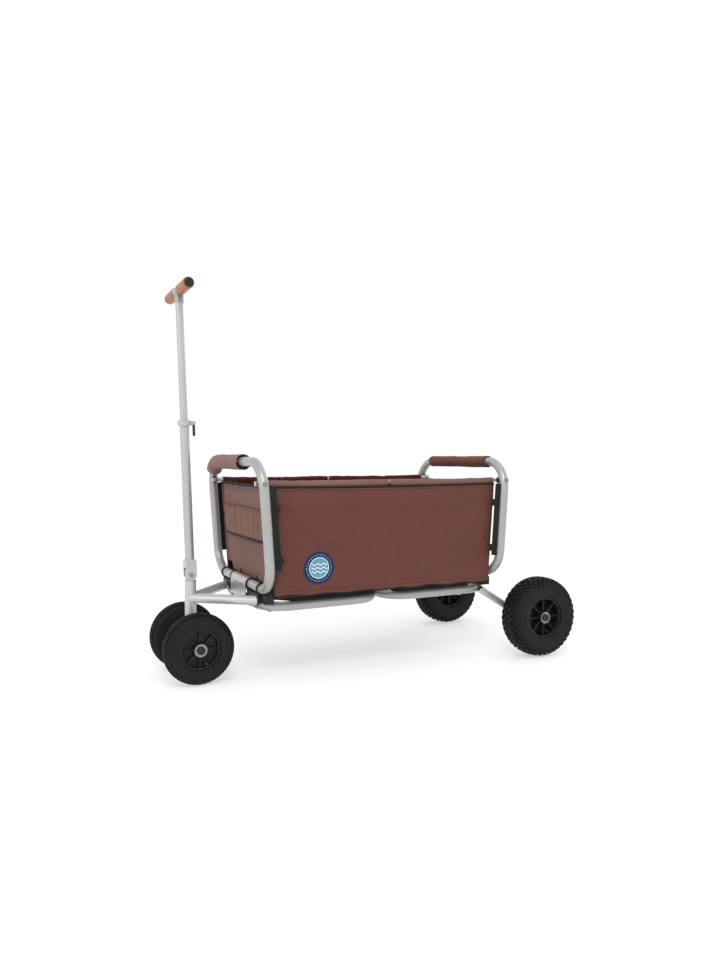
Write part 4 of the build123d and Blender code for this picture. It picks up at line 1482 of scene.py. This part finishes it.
@dataclass
class Hardware:
    """The tubes, fittings and grips that keep their own shape and get their finish here."""

    silver: tuple[str, ...] = (
        "rear_end_frame", "front_end_frame", "rear_base_loop", "front_base_loop", "rear_legs", "v_tubes",
        "head_tube", "steering_column",
        "front_left_rail", "front_right_rail", "rear_left_rail", "rear_right_rail",
    )
    drawbar: tuple[str, ...] = ("drawbar_lower_tube", "drawbar_upper_tube", "t_socket", "clamp_collar")
    pressed: tuple[str, ...] = ("centre_plate", "drawbar_yoke")
    black: tuple[str, ...] = (
        "rear_rail_spacers", "front_rail_spacers", "rear_hinge_brackets", "front_hinge_brackets",
        "centre_clamps", "clamp_lever", "grip_caps", "front_axle_caps", "rear_axle_caps",
    )
    webbing: tuple[str, ...] = ("rear_side_strips", "front_side_strips")
    plated: tuple[str, ...] = (
        "rear_rail_bolts", "front_rail_bolts", "rear_stub_axles", "front_axle", "yoke_bolt",
        "front_left_bearings", "front_right_bearings", "rear_left_bearings", "rear_right_bearings",
    )
    rims: tuple[str, ...] = ("front_left_rim", "front_right_rim", "rear_left_rim", "rear_right_rim")
    boards: tuple[str, ...] = ("rear_floor_board", "front_floor_board")

    def dress(self) -> None:
        """Give every carried-over part its finish."""
        dress(self.silver, PALETTE.get("tube_paint"))
        dress(self.drawbar, PALETTE.get("drawbar_paint"))
        dress(self.pressed, PALETTE.get("pressed_paint"))
        dress(self.black, PALETTE.get("moulded_black"))
        dress(self.webbing, PALETTE.get("webbing"))
        dress(self.plated, PALETTE.get("steel"))
        dress(self.rims, PALETTE.get("rim_plastic"))
        dress(self.boards, PALETTE.get("board_cover"))
        dress(("grips",), PALETTE.get("grip_wood"))


# The studio -----------------------------------------------------------------------------------------
@dataclass
class Studio:
    """Camera, floor and lights."""

    eye: tuple[float, float, float] = (1.0826, 2.1919, 0.6517)
    yaw: float = 26.49
    pitch: float = 1.68
    lens: float = 27.62

    def camera(self) -> bpy.types.Object:
        """Make the camera."""
        data = bpy.data.cameras.new("camera")
        data.lens, data.sensor_width, data.sensor_fit = self.lens, 36.0, "AUTO"
        data.clip_start, data.clip_end = 0.02, 100.0
        camera = bpy.data.objects.new("camera", data)
        bpy.context.scene.collection.objects.link(camera)
        yaw, pitch = math.radians(self.yaw), math.radians(self.pitch)
        ahead = Vector((-math.sin(yaw) * math.cos(pitch), -math.cos(yaw) * math.cos(pitch), -math.sin(pitch)))
        camera.location = self.eye
        camera.rotation_mode = "QUATERNION"
        camera.rotation_quaternion = ahead.to_track_quat("-Z", "Y")
        bpy.context.scene.camera = camera
        return camera

    def floor(self) -> bpy.types.Object:
        """Make the pale floor, which curves up behind the cart on every side."""
        bm = bmesh.new()
        rings = []
        outline = [(0.0, 0.0), (1.0, 0.0), (3.0, 0.0), (5.0, 0.0)]
        turns = [math.pi / 2 * k / 12 for k in range(1, 13)]
        outline += [(5.0 + 4.0 * math.sin(t), 4.0 - 4.0 * math.cos(t)) for t in turns] + [(9.0, 14.0)]
        for radius, height in outline:
            if radius == 0.0:
                rings.append([bm.verts.new((0.0, 0.0, -0.0004))])
                continue
            rings.append(
                [
                    bm.verts.new((radius * math.cos(t), radius * math.sin(t), height - 0.0004))
                    for t in (math.tau * k / 64 for k in range(64))
                ]
            )
        for k in range(64):
            bm.faces.new((rings[0][0], rings[1][k], rings[1][(k + 1) % 64]))
        for one, two in zip(rings[1:], rings[2:]):
            for k in range(64):
                m = (k + 1) % 64
                bm.faces.new((one[k], two[k], two[m], one[m]))
        fixed = {"Metallic": 0.0, "Roughness": 0.9, "Specular_IOR_Level": 0.1, "Emission_Strength": 0.5}
        coat = Coat("studio_floor", **fixed)
        coat.shader.inputs["Emission Color"].default_value = (1.0, 1.0, 1.0, 1.0)
        tint = coat.tinted(coat.place, "c5c5c4", 0.8, 0.004)
        coat.wire(tint, "Base Color")
        floor = finished("studio_floor", bm, [coat.material])
        return floor

    def light(self, name: str, place: tuple[float, float, float], size: float, power: float) -> None:
        """Hang one soft square lamp that looks at the cart."""
        data = bpy.data.lights.new(name, "AREA")
        data.shape, data.size, data.energy = "SQUARE", size, power
        lamp = bpy.data.objects.new(name, data)
        bpy.context.scene.collection.objects.link(lamp)
        lamp.location = place
        lamp.rotation_mode = "QUATERNION"
        lamp.rotation_quaternion = (Vector((0.0, 0.0, 0.4)) - Vector(place)).to_track_quat("-Z", "Y")

    def build(self) -> None:
        """Set up camera, floor, world and lamps."""
        self.camera()
        self.floor()
        world = bpy.data.worlds.new("studio")
        world.use_nodes = True
        world.node_tree.nodes["Background"].inputs["Color"].default_value = (1.0, 1.0, 1.0, 1.0)
        world.node_tree.nodes["Background"].inputs["Strength"].default_value = 0.6
        bpy.context.scene.world = world
        bpy.context.scene.view_settings.view_transform = "Standard"
        self.light("key_lamp", (1.2, 2.5, 3.1), 1.2, 40.0)
        self.light("front_lamp", (3.5, 0.9, 1.7), 1.6, 13.0)
        self.light("top_lamp", (-0.2, 0.2, 3.4), 2.4, 12.0)
        self.light("rear_lamp", (-2.8, -1.4, 2.0), 1.6, 10.0)


def main() -> None:
    """Build the studio and every sub-assembly in order, and report each piece."""
    logging.basicConfig(level=logging.INFO, format="%(message)s")
    Studio().build()
    front, rear = EndPlane("front"), EndPlane("rear")
    Hardware().dress()
    makers = [
        SideCloth("left", front, rear),
        SideCloth("right", front, rear),
        EndCloth(front),
        EndCloth(rear),
        PocketFlap(front),
        HandleSleeve(front, near_y=0.090, far_y=-0.173, radius=0.0245, bend=math.radians(45)),
        HandleSleeve(rear, near_y=0.167, far_y=-0.173, radius=0.0203),
        SleeveRod(front, near_y=0.090),
        FloorMat("front"),
        FloorMat("rear"),
    ]
    makers += [RailSleeve(end, side) for end in ("front", "rear") for side in ("left", "right")]
    for side in ("left", "right"):
        makers.append(Tyre(f"front_{side}", Tread.RIBBED, rim_r=0.058, lugs=44))
        makers.append(Tyre(f"rear_{side}", Tread.BLOCKS, rim_r=0.066, lugs=38))
    for maker in makers:
        piece = maker.build()
        LOG.info("%s: %d corners", piece.name, len(piece.data.vertices))


if __name__ == "__main__":
    main()
